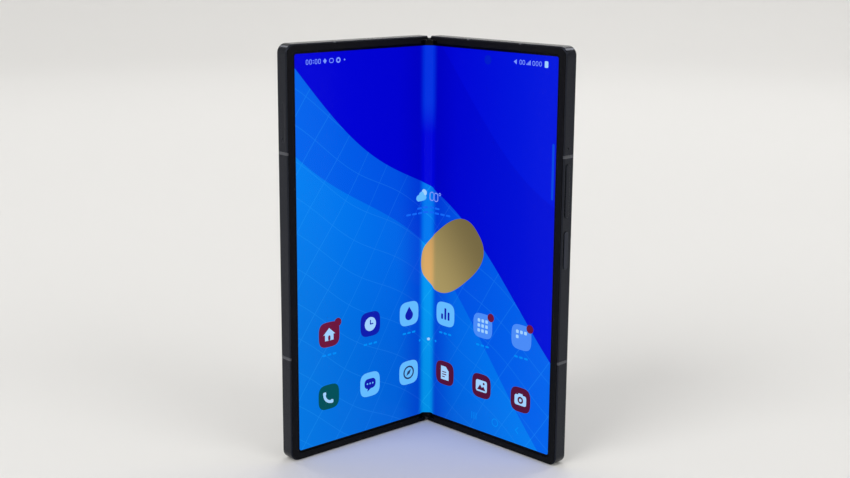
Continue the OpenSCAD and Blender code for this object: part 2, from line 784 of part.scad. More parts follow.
module right_frame() {
    color("#30364a") in_half(1) difference() {
        half_frame(right_bay_top, right_board_screws);
        band_cuts(right_top_bands);
        key_cut(power_z, power_len);
        key_cut(volume_z, volume_len);
        pill_z(port_x, body_t / 2, port_w + 2 * gap, port_h + 2 * gap, -1, rail_w + 2);
        sound_holes((speaker_x0 + speaker_x1) / 2, 6, 0.5, -1, rail_w + 1);
        // microphones in the bottom, the top and the side
        disc_z(port_x - 8.5, hole_y, -1, rail_w + 1, mic_r);
        disc_z(port_x + 6, hole_y, inner_z1 - 1, body_h + 1, mic_r);
        disc_x(half_w - rail_w - 1, half_w + 1, key_y, band_zs[1] + 3, mic_r);
    }
}

// ---------- screen, rims and glass ----------

module screen_panel(side) {
    color("#1030d8") in_half(side)
        outer_plate(bend_half, screen_x1, spine_z0, spine_z1, 0, screen_t, corner_r - rail_w);
}

module left_screen_panel() screen_panel(-1);
module right_screen_panel() screen_panel(1);

bend_steps = 20;

// One face of the bending strip, drawn from left to right: a flat part, an arc, a flat part
function bend_face(r, flat) = let (end = r * [sin(fold_rest), cos(fold_rest)]
    + flat * [cos(fold_rest), -sin(fold_rest)]) concat([[-end[0], end[1]]],
    [for (i = [-bend_steps : bend_steps]) let (a = fold_rest * i / bend_steps) r * [sin(a), cos(a)]],
    [end]);

function reversed(list) = [for (i = [len(list) - 1 : -1 : 0]) list[i]];

// The strip between the panels: an arc over the spine's front, and a flat part each side
module screen_bend_zone() {
    apex_y = axis_y + tan(fold_rest) * (axis_x - axis_y * sin(fold_rest)) - axis_y * cos(fold_rest);
    bend_r = apex_y / (1 / cos(fold_rest) - 1);
    end_x = axis_x + cos(fold_rest) * (bend_half - axis_x) - sin(fold_rest) * axis_y;
    flat = (end_x - bend_r * sin(fold_rest)) / cos(fold_rest) - gap / 2;
    color("#0838c8") in_spine() translate([0, -bend_r, spine_z0]) linear_extrude(spine_z1 - spine_z0)
        polygon(concat(bend_face(bend_r, flat), reversed(bend_face(bend_r + screen_t, flat))));
}

// Soft raised rim, laid on the frame's front face and the screen's dark border
module rim(side) {
    x1 = half_w - edge_r;
    x0 = bend_half + 0.7;
    r = corner_r - edge_r;
    color("#0c0c0e") in_half(side) {
        difference() {
            outer_plate(x0, x1, edge_r, body_h - edge_r, -rim_h, 0, r);
            outer_plate(0, x1 - rim_w, edge_r + rim_w, body_h - edge_r - rim_w, -1, 1, r - rim_w + 1.2);
        }
        // narrow ends on the rails, beside the strip that bends
        for (z = [edge_r, inner_z1 + gap])
            block(rail_gap / 2 + 0.1, x0 + 0.1, -rim_h, 0, z, z + rail_w - edge_r - gap);
    }
}

module left_rim() rim(-1);
module right_rim() rim(1);

// Cuts a chamfer round the back of a plate that has its two outer corners rounded
module edge_chamfer(x0, x1, z0, z1, y1, r, c) {
    out = 0.2;
    // the corner of the cut, with the plate's edge at a given place along the first axis
    function cut(edge) = [[edge - c - out, y1 + out], [edge + out, y1 + out], [edge + out, y1 - c - out]];
    for (top = [0, 1]) translate([0, 0, top * (z0 + z1)]) mirror([0, 0, top]) {
        translate([x1 - r, 0, z0 + r]) rotate([-90, 0, 0]) rotate_extrude(angle = 90) polygon(cut(r));
        translate([x1 - r, 0, z0]) rotate([0, -90, 0]) linear_extrude(x1 - r - x0 + out)
            mirror([1, 0]) polygon(cut(0));
    }
    translate([0, 0, z0 + r]) linear_extrude(z1 - z0 - 2 * r) polygon(cut(x1));
    translate([x0, 0, z0 - out]) linear_extrude(z1 - z0 + 2 * out) mirror([1, 0]) polygon(cut(0));
}

module back_glass(side) {
    m = glass_margin + gap;
    r = corner_r - m;
    in_half(side) difference() {
        outer_plate(glass_x0, half_w - m, m, body_h - m, glass_y0, body_t, r);
        edge_chamfer(glass_x0, half_w - m, m, body_h - m, body_t, r, glass_chamfer);
    }
}

module cover_glass() {
    color("#0d0f14") difference() {
        back_glass(-1);
        in_half(-1) disc_y(cover_cam_x, cover_cam_z, glass_y0 - 1, body_t + 1, 1.6);
    }
}

module rear_glass() {
    color("#252b3d") difference() {
        back_glass(1);
        in_half(1) pill_y(island_x, island_z, island_w + 2 * gap, island_len + 2 * gap, 0, body_t + 1);
    }
}

module cover_screen_panel() {
    color("#08090c") in_half(-1) difference() {
        round_plate(wall_x1 + 2.65, half_w - 3.2, 3.4, body_h - 3.4, glass_y0 - 0.5, glass_y0 - 0.05, 1.2);
        disc_y(cover_cam_x, cover_cam_z, 0, body_t, 1.7);
    }
}

// ---------- ribbon cable through the hinge ----------

// A point of the opened-flat right half, turned to the rest angle
function at_rest(p) = [axis_x + (p[0] - axis_x) * cos(fold_rest) + (p[1] - axis_y) * sin(fold_rest),
    axis_y + (p[1] - axis_y) * cos(fold_rest) - (p[0] - axis_x) * sin(fold_rest)];

function bezier(a, b, c, d, t) = pow(1 - t, 3) * a + 3 * t * pow(1 - t, 2) * b + 3 * t * t * (1 - t) * c
    + pow(t, 3) * d;

// Middle line from the middle of the spine into the right half, as the phone rests
function ribbon_path() = let (
    start = [0, channel_y - 0.5],
    mouth = at_rest([cavity_r + axis_x + 0.15, ribbon_y]),
    rise = [for (i = [0 : 6]) let (t = i / 6)
        at_rest([wall_x1 + 1 + 2.6 * t, ribbon_y + (strap_y - ribbon_y) * t * t * (3 - 2 * t)])])
    concat([for (i = [0 : 12]) bezier(start, start + [2.5, 0],
            mouth + 4 * [-cos(fold_rest), sin(fold_rest)], mouth, i / 12)],
        rise, [at_rest([strap_x1 - 1, strap_y])]);

function along(path, i) = let (d = path[min(i + 1, len(path) - 1)] - path[max(i - 1, 0)]) d / norm(d);

// The path moved sideways by a distance
function beside(path, off) = [for (i = [0 : len(path) - 1]) let (d = along(path, i))
    path[i] + off * [-d[1], d[0]]];

// One piece of film: an S through the hinge, and in each half a strap up to a plug on the board
module hinge_ribbon() {
    half = ribbon_path();
    path = concat([for (i = [len(half) - 1 : -1 : 1]) [-half[i][0], half[i][1]]], half);
    plug_z0 = left_board_z0 + 4.6;
    plug_z1 = plug_z0 + 5.6;
    color("#c28b3c") {
        in_spine() translate([0, 0, ribbon_z0]) linear_extrude(ribbon_w)
            polygon(concat(beside(path, ribbon_t / 2), reversed(beside(path, -ribbon_t / 2))));
        for (side = [-1, 1]) in_half(side) {
            block(strap_x1 - 2.8, strap_x1, strap_y0, strap_y1, ribbon_z0, plug_z1);
            block(strap_x1 - 1, bay_x0 + 4.2, strap_y0, strap_y1, plug_z0, plug_z1);
            block(bay_x0 + 0.6, bay_x0 + 3.8, strap_y1 - gap, strap_y1 + 0.7, plug_z0 + 0.6, plug_z1 - 0.6);
        }
    }
}

// ---------- cameras ----------

// The lenses stand a little over the island's middle, the flash is low at its outer side
lens_lift = 1.6;
lens_zs = [for (i = [-1 : 1]) island_z + lens_lift + i * lens_pitch];
flash_x = island_x + 4.4;
flash_z = island_z + lens_lift - 1.5 * lens_pitch + 1.3;
flash_r = 1.5;
island_y1 = body_t + island_h;
island_soft = 0.4;

module camera_body(x, z, y0, y1, half) {
    block(x - half, x + half, y0, y1, z - half, z + half);
}

module cover_camera() {
    color("#101218") in_half(-1) {
        disc_y(cover_cam_x, cover_cam_z, glass_y0 - 0.02, body_t - 0.05, 1.5);
        disc_y(cover_cam_x, cover_cam_z, 2.4, glass_y0 - 0.02, 1.2);
        camera_body(cover_cam_x, cover_cam_z, 1.6, 2.5, camera_half);
    }
}

module inner_camera() {
    color("#101218") in_half(1) {
        disc_y(inner_cam_x, inner_cam_z, plate_y1 + 0.05, 2.0, 1.5);
        camera_body(inner_cam_x, inner_cam_z, 2.0, 3.6, camera_half);
    }
}

module camera_island() {
    color("#343a4e") in_half(1) difference() {
        translate([island_x, glass_y0 - 0.02, island_z])
            soft_bar(island_w, island_len, island_y1 - glass_y0 + 0.02, island_soft);
        for (z = lens_zs) disc_y(island_x, z, 0, island_y1 + 1, module_half);
        disc_y(flash_x, flash_z, 0, island_y1 + 1, flash_r + gap);
    }
}

module lens_rings() {
    color("#23283a") in_half(1) for (z = lens_zs) translate([island_x, island_y1, z])
        rotate([-90, 0, 0]) rotate_extrude()
            polygon([[ring_r - 1.0, 0], [ring_r, 0], [ring_r, 0.35], [ring_r - 0.25, 0.6],
                [ring_r - 0.75, 0.6], [ring_r - 1.0, 0.4]]);
}

module lens_glasses() {
    color("#0a0b10") in_half(1) for (z = lens_zs)
        disc_y(island_x, z, island_y1 - 0.35, island_y1 + 0.25, ring_r - 1.0);
}

// Barrel with a stepped mouth and a domed front element, on a square body
module camera_modules() {
    mouth = 3.4;
    bore = 2.3;
    depth = 1.1;
    dome_r = 4;
    dome_up = 0.6;
    body_y1 = 3.2;
    top = island_y1 - 0.45;
    color("#15171d") in_half(1) for (z = lens_zs) {
        translate([island_x, 0, z]) rotate([-90, 0, 0]) {
            rotate_extrude() polygon([[0, body_y1 - 0.1], [ring_r - 1.2, body_y1 - 0.1],
                [ring_r - 1.2, top - 0.5], [mouth + 0.7, top - 0.5], [mouth + 0.7, top], [mouth, top],
                [mouth - 0.2, top - 0.4], [bore + 0.4, top - 0.5], [bore, top - depth], [0, top - depth]]);
            intersection() {
                translate([0, 0, top - depth + dome_up - dome_r]) sphere(r = dome_r);
                translate([0, 0, top - depth - 0.3]) cylinder(h = dome_up + 0.5, r = bore - 0.2);
            }
        }
        camera_body(island_x, z, plate_y1 + 0.05, body_y1, module_half);
    }
}

module flash_window() {
    color("#f2ecd8") in_half(1) disc_y(flash_x, flash_z, body_t, island_y1 - 0.05, flash_r);
}

// ---------- inside the left half ----------

module battery(side, z0, z1) {
    color("#1b1c20") in_half(side) round_plate(bay_x0, bay_x1, z0, z1, cell_y0, cell_y1, 1.5);
}

module left_battery() battery(-1, bay_z0 + 0.2, left_bay_top - 0.2);

module left_board() {
    color("#1d3a2c") in_half(-1) difference() {
        block(bay_x0, left_board_x1, upper_board_y0, upper_board_y1, left_board_z0, left_board_z1);
        for (p = left_board_screws) disc_y(p[0], p[1], 0, body_t, screw_r + gap);
    }
}

// Sheet-metal can over a board, with its room or rooms
module shield(x0, x1, z0, z1, rooms) {
    w = shield_wall;
    step = (z1 - z0 - w) / rooms;
    difference() {
        block(x0, x1, upper_board_y1, shield_y1, z0, z1);
        for (i = [0 : rooms - 1])
            block(x0 + w, x1 - w, 0, shield_y1 - shield_roof, z0 + w + i * step, z0 + (i + 1) * step);
    }
}

module left_shield() {
    color("#b4b8bd") in_half(-1)
        shield(bay_x0 + shield_side, left_board_x1 - shield_side,
            left_board_z0 + shield_end, left_board_z1 - shield_end, 1);
}

module earpiece_speaker() {
    z0 = body_h - pocket_drop + 1;
    z1 = inner_z1 - 1.2;
    color("#24262b") in_half(-1) {
        round_plate(ear_x - ear_half, ear_x + ear_half, z0, z1, cell_y0, 3.2, 1.2);
        round_plate(ear_x - ear_half + 1, ear_x + ear_half - 1, z0 + 1, z1 - 1, 3.2, 3.5, 1.0);
    }
}

module vibration_motor() {
    motor_z = 10.25;
    motor_half = 4.25;
    color("#a9adb3") in_half(-1) {
        round_plate(port_x - 9, port_x + 9, motor_z - motor_half, motor_z + motor_half, cell_y0, 3.6, 1.0);
        disc_y(port_x, motor_z, 3.6, 3.9, 2.4);
    }
}

magnet_zs = [body_h / 2 - 11, body_h / 2 + 11];

module magnets(side, x) {
    color("#c9ccd1") in_half(side) for (z = magnet_zs)
        round_plate(x - 0.5, x + 0.5, z - 5, z + 5, cell_y0, cell_y0 + 1.2, 0.4);
}

module left_magnets() magnets(-1, edge_x1 - 0.9);
module right_magnets() magnets(1, half_w - rail_w - 2.1);

// Metal cage that the tray slides into
module card_reader() {
    color("#b4b8bd") in_half(-1) difference() {
        block(reader_x0, edge_x1, tray_y - 1.1, tray_y + 1.0, tray_z - tray_len / 2 - 0.2,
            tray_z + tray_len / 2 + 0.2);
        tray_slot(reader_x0 + 0.4);
    }
}

module card_tray() {
    blade = tray_len / 2 - 1;
    window = blade - 1.4;
    color("#30364a") in_half(-1) difference() {
        union() {
            pill_x(half_w - 0.85, half_w - tray_seat, tray_y, tray_w,
                tray_z - tray_len / 2, tray_z + tray_len / 2);
            block(half_w - tray_depth, half_w - 0.8, tray_y - 0.5, tray_y + 0.5,
                tray_z - blade, tray_z + blade);
        }
        block(half_w - tray_depth + 0.8, half_w - 3, tray_y - 0.2, tray_y + 1,
            tray_z - window, tray_z + window);
        disc_x(half_w - 2, half_w + 1, tray_y, tray_z - tray_len / 2 + 1.3, 0.35);
    }
}

// ---------- inside the right half ----------

module right_battery() battery(1, bay_z0 + 0.2, right_bay_top - 0.2);

module main_board() {
    color("#1d3a2c") in_half(1) difference() {
        union() {
            block(bay_x0, main_x1, upper_board_y0, upper_board_y1, main_z0, main_z1);
            block(inner_cam_x + camera_half + camera_clear, main_x1, upper_board_y0, upper_board_y1,
                main_z1 - 0.5, inner_z1 - 1.5);
            block(bay_x0, edge_x1 - 0.4, lower_board_y0, lower_board_y1, lower_board_step, lower_board_z1);
            block(bay_x0, speaker_x1, lower_board_y0, lower_board_y1,
                lower_board_z0, lower_board_step + 0.5);
        }
        for (p = right_board_screws) disc_y(p[0], p[1], 0, body_t, screw_r + gap);
    }
}

module right_shield() {
    color("#b4b8bd") in_half(1)
        shield(bay_x0 + shield_side, main_x1 - shield_side, main_z0 + shield_end, main_z1 - shield_end, 2);
}

// Socket shell with its centre tongue
module charging_socket() {
    color("#9a9ea5") in_half(1) {
        difference() {
            pill_z(port_x, body_t / 2, port_w, port_h, 0.3, lower_board_z0 - 0.2);
            pill_z(port_x, body_t / 2, port_w - 0.6, port_h - 0.6, 0, lower_board_z0 - 0.8);
        }
        block(port_x - 3.3, port_x + 3.3, body_t / 2 - 0.35, body_t / 2 + 0.35,
            1.4, lower_board_z0 - 0.6);
    }
}

module loudspeaker() {
    color("#24262b") in_half(1)
        round_plate(speaker_x0, speaker_x1, rail_w + 0.5, lower_board_z0 - 0.2,
            cell_y0, cell_y1 - 0.6, 1.0);
}

module charging_coil() {
    coil_x = (bay_x0 + bay_x1) / 2;
    coil_z = (bay_z0 + right_bay_top) / 2;
    coil_r = (bay_x1 - bay_x0) / 2 - 2;
    color("#b87333") in_half(1) difference() {
        disc_y(coil_x, coil_z, cell_y1 + 0.02, glass_y0 - 0.1, coil_r);
        disc_y(coil_x, coil_z, 0, body_t, coil_r / 2);
    }
}

switch_x = half_w - rail_w - 0.95;
dome_h = 0.35;
plunger_in = 3.6;
volume_plungers = [volume_z + plunger_in, volume_z + volume_len - plunger_in];
power_plungers = [power_z + power_len / 2];

// Flexible strip with a dome under each end of the volume key and one under the power key
module key_switches() {
    color("#c28b3c") in_half(1) {
        block(switch_x - 0.25, switch_x, key_y - 0.9, key_y + 0.9, power_z + 1, volume_z + volume_len - 1);
        for (z = concat(power_plungers, volume_plungers)) disc_x(switch_x, switch_x + dome_h, key_y, z, 0.8);
    }
}

// Key cap with a flange behind the rail and a plunger for each dome
module side_key(z0, len, plungers) {
    flange_x0 = half_w - rail_w + 0.3;
    flange_t = 0.45;
    color("#3a4156") in_half(1) {
        translate([flange_x0, key_y, z0 + len / 2]) rotate([0, 0, -90])
            soft_bar(key_w, len, half_w + key_proud - flange_x0, 0.15);
        block(flange_x0, flange_x0 + flange_t, key_y - key_w / 2 - 0.4, key_y + key_w / 2 + 0.4,
            z0 - 0.6, z0 + len + 0.6);
        for (z = plungers) disc_x(switch_x + dome_h + key_travel + 2 * gap, flange_x0 + 0.1, key_y, z, 0.5);
    }
}

module volume_key() side_key(volume_z, volume_len, volume_plungers);
module power_key() side_key(power_z, power_len, power_plungers);

// ---------- what is drawn ----------

hinge_cover();
hinge_base_upper();
hinge_base_lower();
idler_pins();
friction_springs();
hinge_screws();
spine_cap_top();
spine_cap_bottom();
screen_bend_zone();
hinge_ribbon();
sync_arm_left_upper();
sync_arm_left_lower();
sync_gears_left();
sync_arm_right_upper();
sync_arm_right_lower();
sync_gears_right();
idler_gears_left();
idler_gears_right();
left_frame();
left_antenna_bands();
left_screen_panel();
left_rim();
cover_glass();
cover_screen_panel();
cover_camera();
left_bracket_upper();
left_bracket_lower();
left_screws();
left_battery();
left_board();
left_shield();
earpiece_speaker();
vibration_motor();
left_magnets();
card_reader();
card_tray();
right_frame();
right_antenna_bands();
right_screen_panel();
right_rim();
rear_glass();
camera_island();
lens_rings();
lens_glasses();
camera_modules();
flash_window();
right_bracket_upper();
right_bracket_lower();
right_screws();
right_battery();
main_board();
right_shield();
charging_socket();
loudspeaker();
charging_coil();
right_magnets();
inner_camera();
key_switches();
volume_key();
power_key();
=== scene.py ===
"""Looks of a book-style foldable phone: lit folding screen, anodised metal, etched glass."""

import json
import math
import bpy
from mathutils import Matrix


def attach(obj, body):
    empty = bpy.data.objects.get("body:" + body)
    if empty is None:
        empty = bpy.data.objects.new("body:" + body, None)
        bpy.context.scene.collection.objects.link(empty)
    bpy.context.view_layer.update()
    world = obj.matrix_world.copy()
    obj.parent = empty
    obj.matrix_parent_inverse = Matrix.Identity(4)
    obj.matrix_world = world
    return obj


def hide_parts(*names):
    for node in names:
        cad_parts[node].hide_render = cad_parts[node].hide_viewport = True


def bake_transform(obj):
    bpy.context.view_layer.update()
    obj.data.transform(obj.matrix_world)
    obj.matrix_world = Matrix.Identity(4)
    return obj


bl_info = {
    "name": "Foldable Phone",
    "version": (1, 0, 0),
    "blender": (4, 5, 0),
    "location": "View3D > Sidebar > Phone",
    "description": "Dresses the phone's solids and adds its screen image, fold, lenses and studio",
    "category": "Object",
}

import bmesh
import bpy
from mathutils import Matrix, Vector

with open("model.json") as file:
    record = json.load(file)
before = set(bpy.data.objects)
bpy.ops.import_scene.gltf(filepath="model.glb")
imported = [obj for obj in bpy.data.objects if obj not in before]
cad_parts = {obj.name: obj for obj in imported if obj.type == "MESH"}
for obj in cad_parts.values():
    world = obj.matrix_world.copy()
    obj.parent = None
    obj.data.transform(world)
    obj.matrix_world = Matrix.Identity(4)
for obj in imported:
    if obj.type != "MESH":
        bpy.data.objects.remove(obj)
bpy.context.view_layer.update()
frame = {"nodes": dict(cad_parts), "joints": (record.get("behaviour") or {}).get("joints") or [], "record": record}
FOLD = next(joint for joint in frame["joints"] if joint["name"] == "right_fold")
LEFT, RIGHT = -1, 1
BODY = {LEFT: "left_half", RIGHT: "right_half"}
WORD = {LEFT: "left", RIGHT: "right"}
UP = Vector((0, 0, 1))
EVEN = (1, 1, 1)  # grain that isn't drawn out along any axis


# ---------- settings ----------


def length(name, description, default):
    return bpy.props.FloatProperty(
        name=name, description=description, default=default, min=0, precision=5,
        unit="LENGTH", subtype="DISTANCE")


def colour(name, description, default):
    return bpy.props.FloatVectorProperty(
        name=name, description=description, default=default, size=3, min=0, max=1, subtype="COLOR")


def rotation(name, description, degrees):
    return bpy.props.FloatProperty(
        name=name, description=description, default=math.radians(degrees), unit="ROTATION")


class PhoneSizes(bpy.types.PropertyGroup):
    half_width: length("Half width", "From the hinge line to the outer edge of a half", 0.0663)
    body_height: length("Body height", "Height of the phone along the spine", 0.1535)
    thickness: length("Thickness", "Thickness of a half without the camera island", 0.0056)
    axis_out: length("Axis offset", "From the hinge line to each hinge axis", FOLD["pos_m"][0])
    axis_depth: length("Axis depth", "From the screen surface back to the hinge axes", 0.0005)
    rest_angle: rotation(
        "Rest angle", "Angle that each half is turned up from flat", max(FOLD["range_deg"]))
    border: length("Dark border", "Unlit border round the image, rim included", 0.0036)
    image_corner: length("Image corner", "Radius of the lit image's outer corners", 0.0008)
    bend_half: length("Bend half width", "Half width of the strip that bends", 0.0038)
    still_half: length(
        "Still half width", "Half width of the strip's part that lies still on the spine", 0.00025)
    strip_end: length("Strip end", "From the phone's ends to the bending strip's ends", 0.0016)
    screen_thickness: length("Screen thickness", "Thickness of the flexible screen", 0.00045)
    ink: length("Ink step", "Height of each layer of the image over the one below", 0.00001)
    icon: length("Icon size", "Side of one icon", 0.0096)


class PhoneColours(bpy.types.PropertyGroup):
    metal: colour("Metal", "Anodised frame, keys and island", (0.0155, 0.0178, 0.0262))
    spine: colour("Spine", "Anodised spine cover", (0.018, 0.021, 0.031))
    rear: colour("Rear glass", "Etched glass of the back", (0.026, 0.032, 0.050))
    border: colour("Border", "Unlit border of the screen", (0.0015, 0.0015, 0.002))
    deep: colour("Deep blue", "Upper right of the wallpaper", (0.0, 0.0005, 0.70))
    middle: colour("Middle blue", "Band along the edge of the azure", (0.0, 0.100, 0.80))
    azure: colour("Azure", "Lower left of the wallpaper", (0.0, 0.165, 0.84))
    sand: colour("Sand", "Pebble on the wallpaper", (0.40, 0.31, 0.12))
    floor: colour("Floor", "Floor and backdrop", (0.80, 0.79, 0.77))


def sizes():
    return bpy.context.scene.phone_sizes


def colours():
    return bpy.context.scene.phone_colours


# ---------- places on the phone ----------


def turned(side, x, z, depth, angle):
    """A flat point of one half (x out from the hinge line), turned up about that half's axis."""
    s = sizes()
    out, back = x - s.axis_out, depth - s.axis_depth
    c, n = math.cos(angle), math.sin(angle)
    across = s.axis_out + out * c + back * n
    return Vector((side * across, FOLD["pos_m"][1] + back * c - out * n, z))


def on_half(side, x, z, depth=0.0):
    return turned(side, x, z, depth, sizes().rest_angle)


def smoothstep(t):
    t = min(max(t, 0.0), 1.0)
    return t * t * (3 - 2 * t)


def bend_ends(side):
    """Where the bending strip leaves the half, and where it lies still on the spine."""
    return on_half(side, sizes().bend_half, 0), turned(side, sizes().still_half, 0, 0, 0)


def on_bend(side, x, z, depth):
    """A point of the bending strip."""
    start, end = bend_ends(side)
    way = (end - start).xy
    low, high = 0.0, 1.0
    for _ in range(40):
        still = (low + high) / 2
        point = turned(side, x, z, depth, (1 - still) * sizes().rest_angle)
        if smoothstep((point - start).xy.dot(way) / way.length_squared) > still:
            low = still
        else:
            high = still
    return turned(side, x, z, depth, (1 - high) * sizes().rest_angle)


# ---------- flat shapes, as lists of faces in metres ----------


def circle_points(x, z, radius, start=0.0, end=2 * math.pi, steps=28):
    closed = abs(end - start - 2 * math.pi) < 1e-6
    last = steps if closed else steps + 1
    return [(x + radius * math.cos(start + (end - start) * i / steps),
             z + radius * math.sin(start + (end - start) * i / steps)) for i in range(last)]


def disc(x, z, radius):
    return [circle_points(x, z, radius)]


def band(x, z, inner, outer, start=0.0, end=2 * math.pi, steps=28):
    """A ring or part of one, as a row of quads."""
    inside = circle_points(x, z, inner, start, end, steps)
    outside = circle_points(x, z, outer, start, end, steps)
    pairs = zip(range(steps), [(i + 1) % len(inside) for i in range(steps)])
    return [[inside[i], outside[i], outside[j], inside[j]] for i, j in pairs]


def rounded(x, z, width, height, radius, steps=6):
    radius = min(radius, width / 2, height / 2)
    points = []
    for quarter, (sx, sz) in enumerate(((1, 1), (-1, 1), (-1, -1), (1, -1))):
        points += circle_points(
            x + sx * (width / 2 - radius), z + sz * (height / 2 - radius), radius,
            quarter * math.pi / 2, (quarter + 1) * math.pi / 2, steps)
    return [points]


def hollow(x, z, width, height, line=0.00024):
    """A rounded frame, as a row of quads."""
    radius = min(width, height) / 2.2
    outside = rounded(x, z, width, height, radius)[0]
    inside = rounded(x, z, width - 2 * line, height - 2 * line, radius - line)[0]
    pairs = zip(range(len(outside)), [*range(1, len(outside)), 0])
    return [[inside[i], outside[i], outside[j], inside[j]] for i, j in pairs]


def dashes(x0, x1, z, count, height=0.0008, gap=0.0006):
    """Short bars in a row, in the place of a line of words."""
    step = (x1 - x0) / count
    middles = [x0 + (i + .5) * step for i in range(count)]
    return [face for x in middles for face in rounded(x, z, step - gap, height, height / 2)]


def pebble(x, z, size, power=3.4, steps=44):
    """A square whose sides bulge and whose corners are fully rounded."""
    points = []
    for i in range(steps):
        c, n = math.cos(2 * math.pi * i / steps), math.sin(2 * math.pi * i / steps)
        points.append((x + size / 2 * math.copysign(abs(c) ** (2 / power), c),
                       z + size / 2 * math.copysign(abs(n) ** (2 / power), n)))
    return [points]


def outline(x, z, size, *points):
    """A polygon drawn in a square that is one unit wide."""
    return [[(x + size * px, z + size * pz) for px, pz in points]]


# ---------- symbols, each a list of (colour, faces) inside a square of a given size ----------


def house(x, z, s, ink, ground):
    walls = outline(
        x, z, s, (-.5, 0), (0, .46), (.5, 0), (.36, 0), (.36, -.42), (-.36, -.42), (-.36, 0))
    return [(ink, walls), (ground, rounded(x, z - .24 * s, .2 * s, .36 * s, .1 * s))]


def clock(x, z, s, ink, ground):
    return [(ink, disc(x, z, .5 * s)),
            (ground, rounded(x, z + .13 * s, .09 * s, .34 * s, .04 * s)),
            (ground, rounded(x + .11 * s, z, .3 * s, .09 * s, .04 * s))]


def drop(x, z, s, ink, ground):
    belly = circle_points(x, z - .12 * s, .36 * s, math.radians(155), math.radians(385))
    return [(ink, [belly + [(x, z + .52 * s)]])]


def bars(x, z, s, ink, ground):
    return [(ink, rounded(x + dx * s, z - .4 * s + h * s / 2, .18 * s, h * s, .06 * s))
            for dx, h in ((-.32, .4), (0, .85), (.32, .6))]


def tiles(count):
    def draw(x, z, s, ink, ground):
        spots = [(i * .36 * s, j * .36 * s) for j in (1, 0, -1) for i in (-1, 0, 1)][:count]
        return [(ink, rounded(x + dx, z + dz, .24 * s, .24 * s, .07 * s)) for dx, dz in spots]
    return draw


def handset(x, z, s, ink, ground):
    grip = band(
        x + .22 * s, z + .22 * s, .50 * s, .70 * s, math.radians(172), math.radians(278), 14)
    ends = rounded(x - .36 * s, z + .26 * s, .26 * s, .24 * s, .07 * s) \
        + rounded(x + .26 * s, z - .36 * s, .24 * s, .26 * s, .07 * s)
    return [(ink, grip + ends)]


def bubble(x, z, s, ink, ground):
    return [(ink, rounded(x, z + .06 * s, 1.0 * s, .72 * s, .3 * s)
             + outline(x, z, s, (-.22, -.26), (.1, -.29), (-.24, -.5))),
            (ground, [p for d in (-.24, 0, .24) for p in disc(x + d * s, z + .06 * s, .065 * s)])]


def compass(x, z, s, ink, ground):
    return [(ink, band(x, z, .38 * s, .5 * s)),
            (ink, outline(x, z, s, (.22, .22), (.09, -.09), (-.22, -.22), (-.09, .09)))]


def page(x, z, s, ink, ground):
    lines = [(ground, rounded(x - dx * s, z + dz * s, w * s, .07 * s, .03 * s))
             for dx, dz, w in ((.05, .08, .42), (.05, -.1, .42), (.12, -.28, .28))]
    sheet = outline(x, z, s, (-.38, -.5), (.38, -.5), (.38, .2), (.1, .5), (-.38, .5))
    return [(ink, sheet)] + lines


def picture(x, z, s, ink, ground):
    return [(ink, rounded(x, z, 1.04 * s, .84 * s, .16 * s)),
            (ground, outline(x, z, s, (-.4, -.3), (-.12, .1), (.06, -.12), (.18, .02), (.4, -.3))),
            (ground, disc(x + .22 * s, z + .2 * s, .09 * s))]


def camera(x, z, s, ink, ground):
    case = rounded(x, z - .03 * s, 1.04 * s, .74 * s, .16 * s)
    hump = rounded(x, z + .34 * s, .4 * s, .2 * s, .06 * s)
    return [(ink, case + hump), (ground, disc(x, z - .03 * s, .25 * s)),
            (ink, disc(x, z - .03 * s, .12 * s))]


def cloud(x, z, s, ink, ground):
    puffs = ((-.22, -.02, .2), (.04, .1, .27), (.3, -.04, .17))
    faces = [face for dx, dz, r in puffs for face in disc(x + dx * s, z + dz * s, r * s)]
    return [(ink, faces + rounded(x + .02 * s, z - .13 * s, .72 * s, .2 * s, .1 * s))]


# The icons: side, distance from the hinge line, height, ground, ink, drawing, badge
ICONS = (
    (LEFT, .0486, .0456, "red", "ice", house, True),
    (LEFT, .0290, .0458, "navy", "ice", clock, False),
    (LEFT, .0096, .0462, "sky", "navy", drop, False),
    (RIGHT, .0100, .0462, "sky", "navy", bars, False),
    (RIGHT, .0296, .0458, "mist", "ice", tiles(9), True),
    (RIGHT, .0488, .0456, "mist", "ice", tiles(4), True),
    (LEFT, .0490, .0214, "green", "ice", handset, False),
    (LEFT, .0292, .0218, "sky", "navy", bubble, False),
    (LEFT, .0097, .0222, "sky", "slate", compass, False),
    (RIGHT, .0100, .0222, "wine", "ice", page, False),
    (RIGHT, .0294, .0218, "wine", "ice", picture, False),
    (RIGHT, .0490, .0214, "wine", "ice", camera, False),
)
INKS = {
    "ice": (0.36, 0.64, 1.0), "navy": (0.005, 0.012, 0.42), "sky": (0.13, 0.50, 1.0),
    "mist": (0.07, 0.26, 0.93), "red": (0.15, 0.008, 0.045), "wine": (0.085, 0.006, 0.038),
    "green": (0.0, 0.08, 0.10), "slate": (0.02, 0.04, 0.14), "faint": (0.0, 0.26, 0.92),
    "shade": (0.0, 0.012, 0.60), "haze": (0.006, 0.14, 0.92), "pale": (0.20, 0.32, 1.0),
    "edge": (0.0015, 0.062, 0.76),
}
SYMBOL, BADGE_OUT, BADGE_RADIUS = 0.57, 0.42, 0.17  # as shares of the icon's side
LABEL_HALF, LABEL_DROP = 0.0036, 0.0078  # a label's half width, and how far it lies below
LABELS_ABOVE = 0.03  # icons below this height have no label


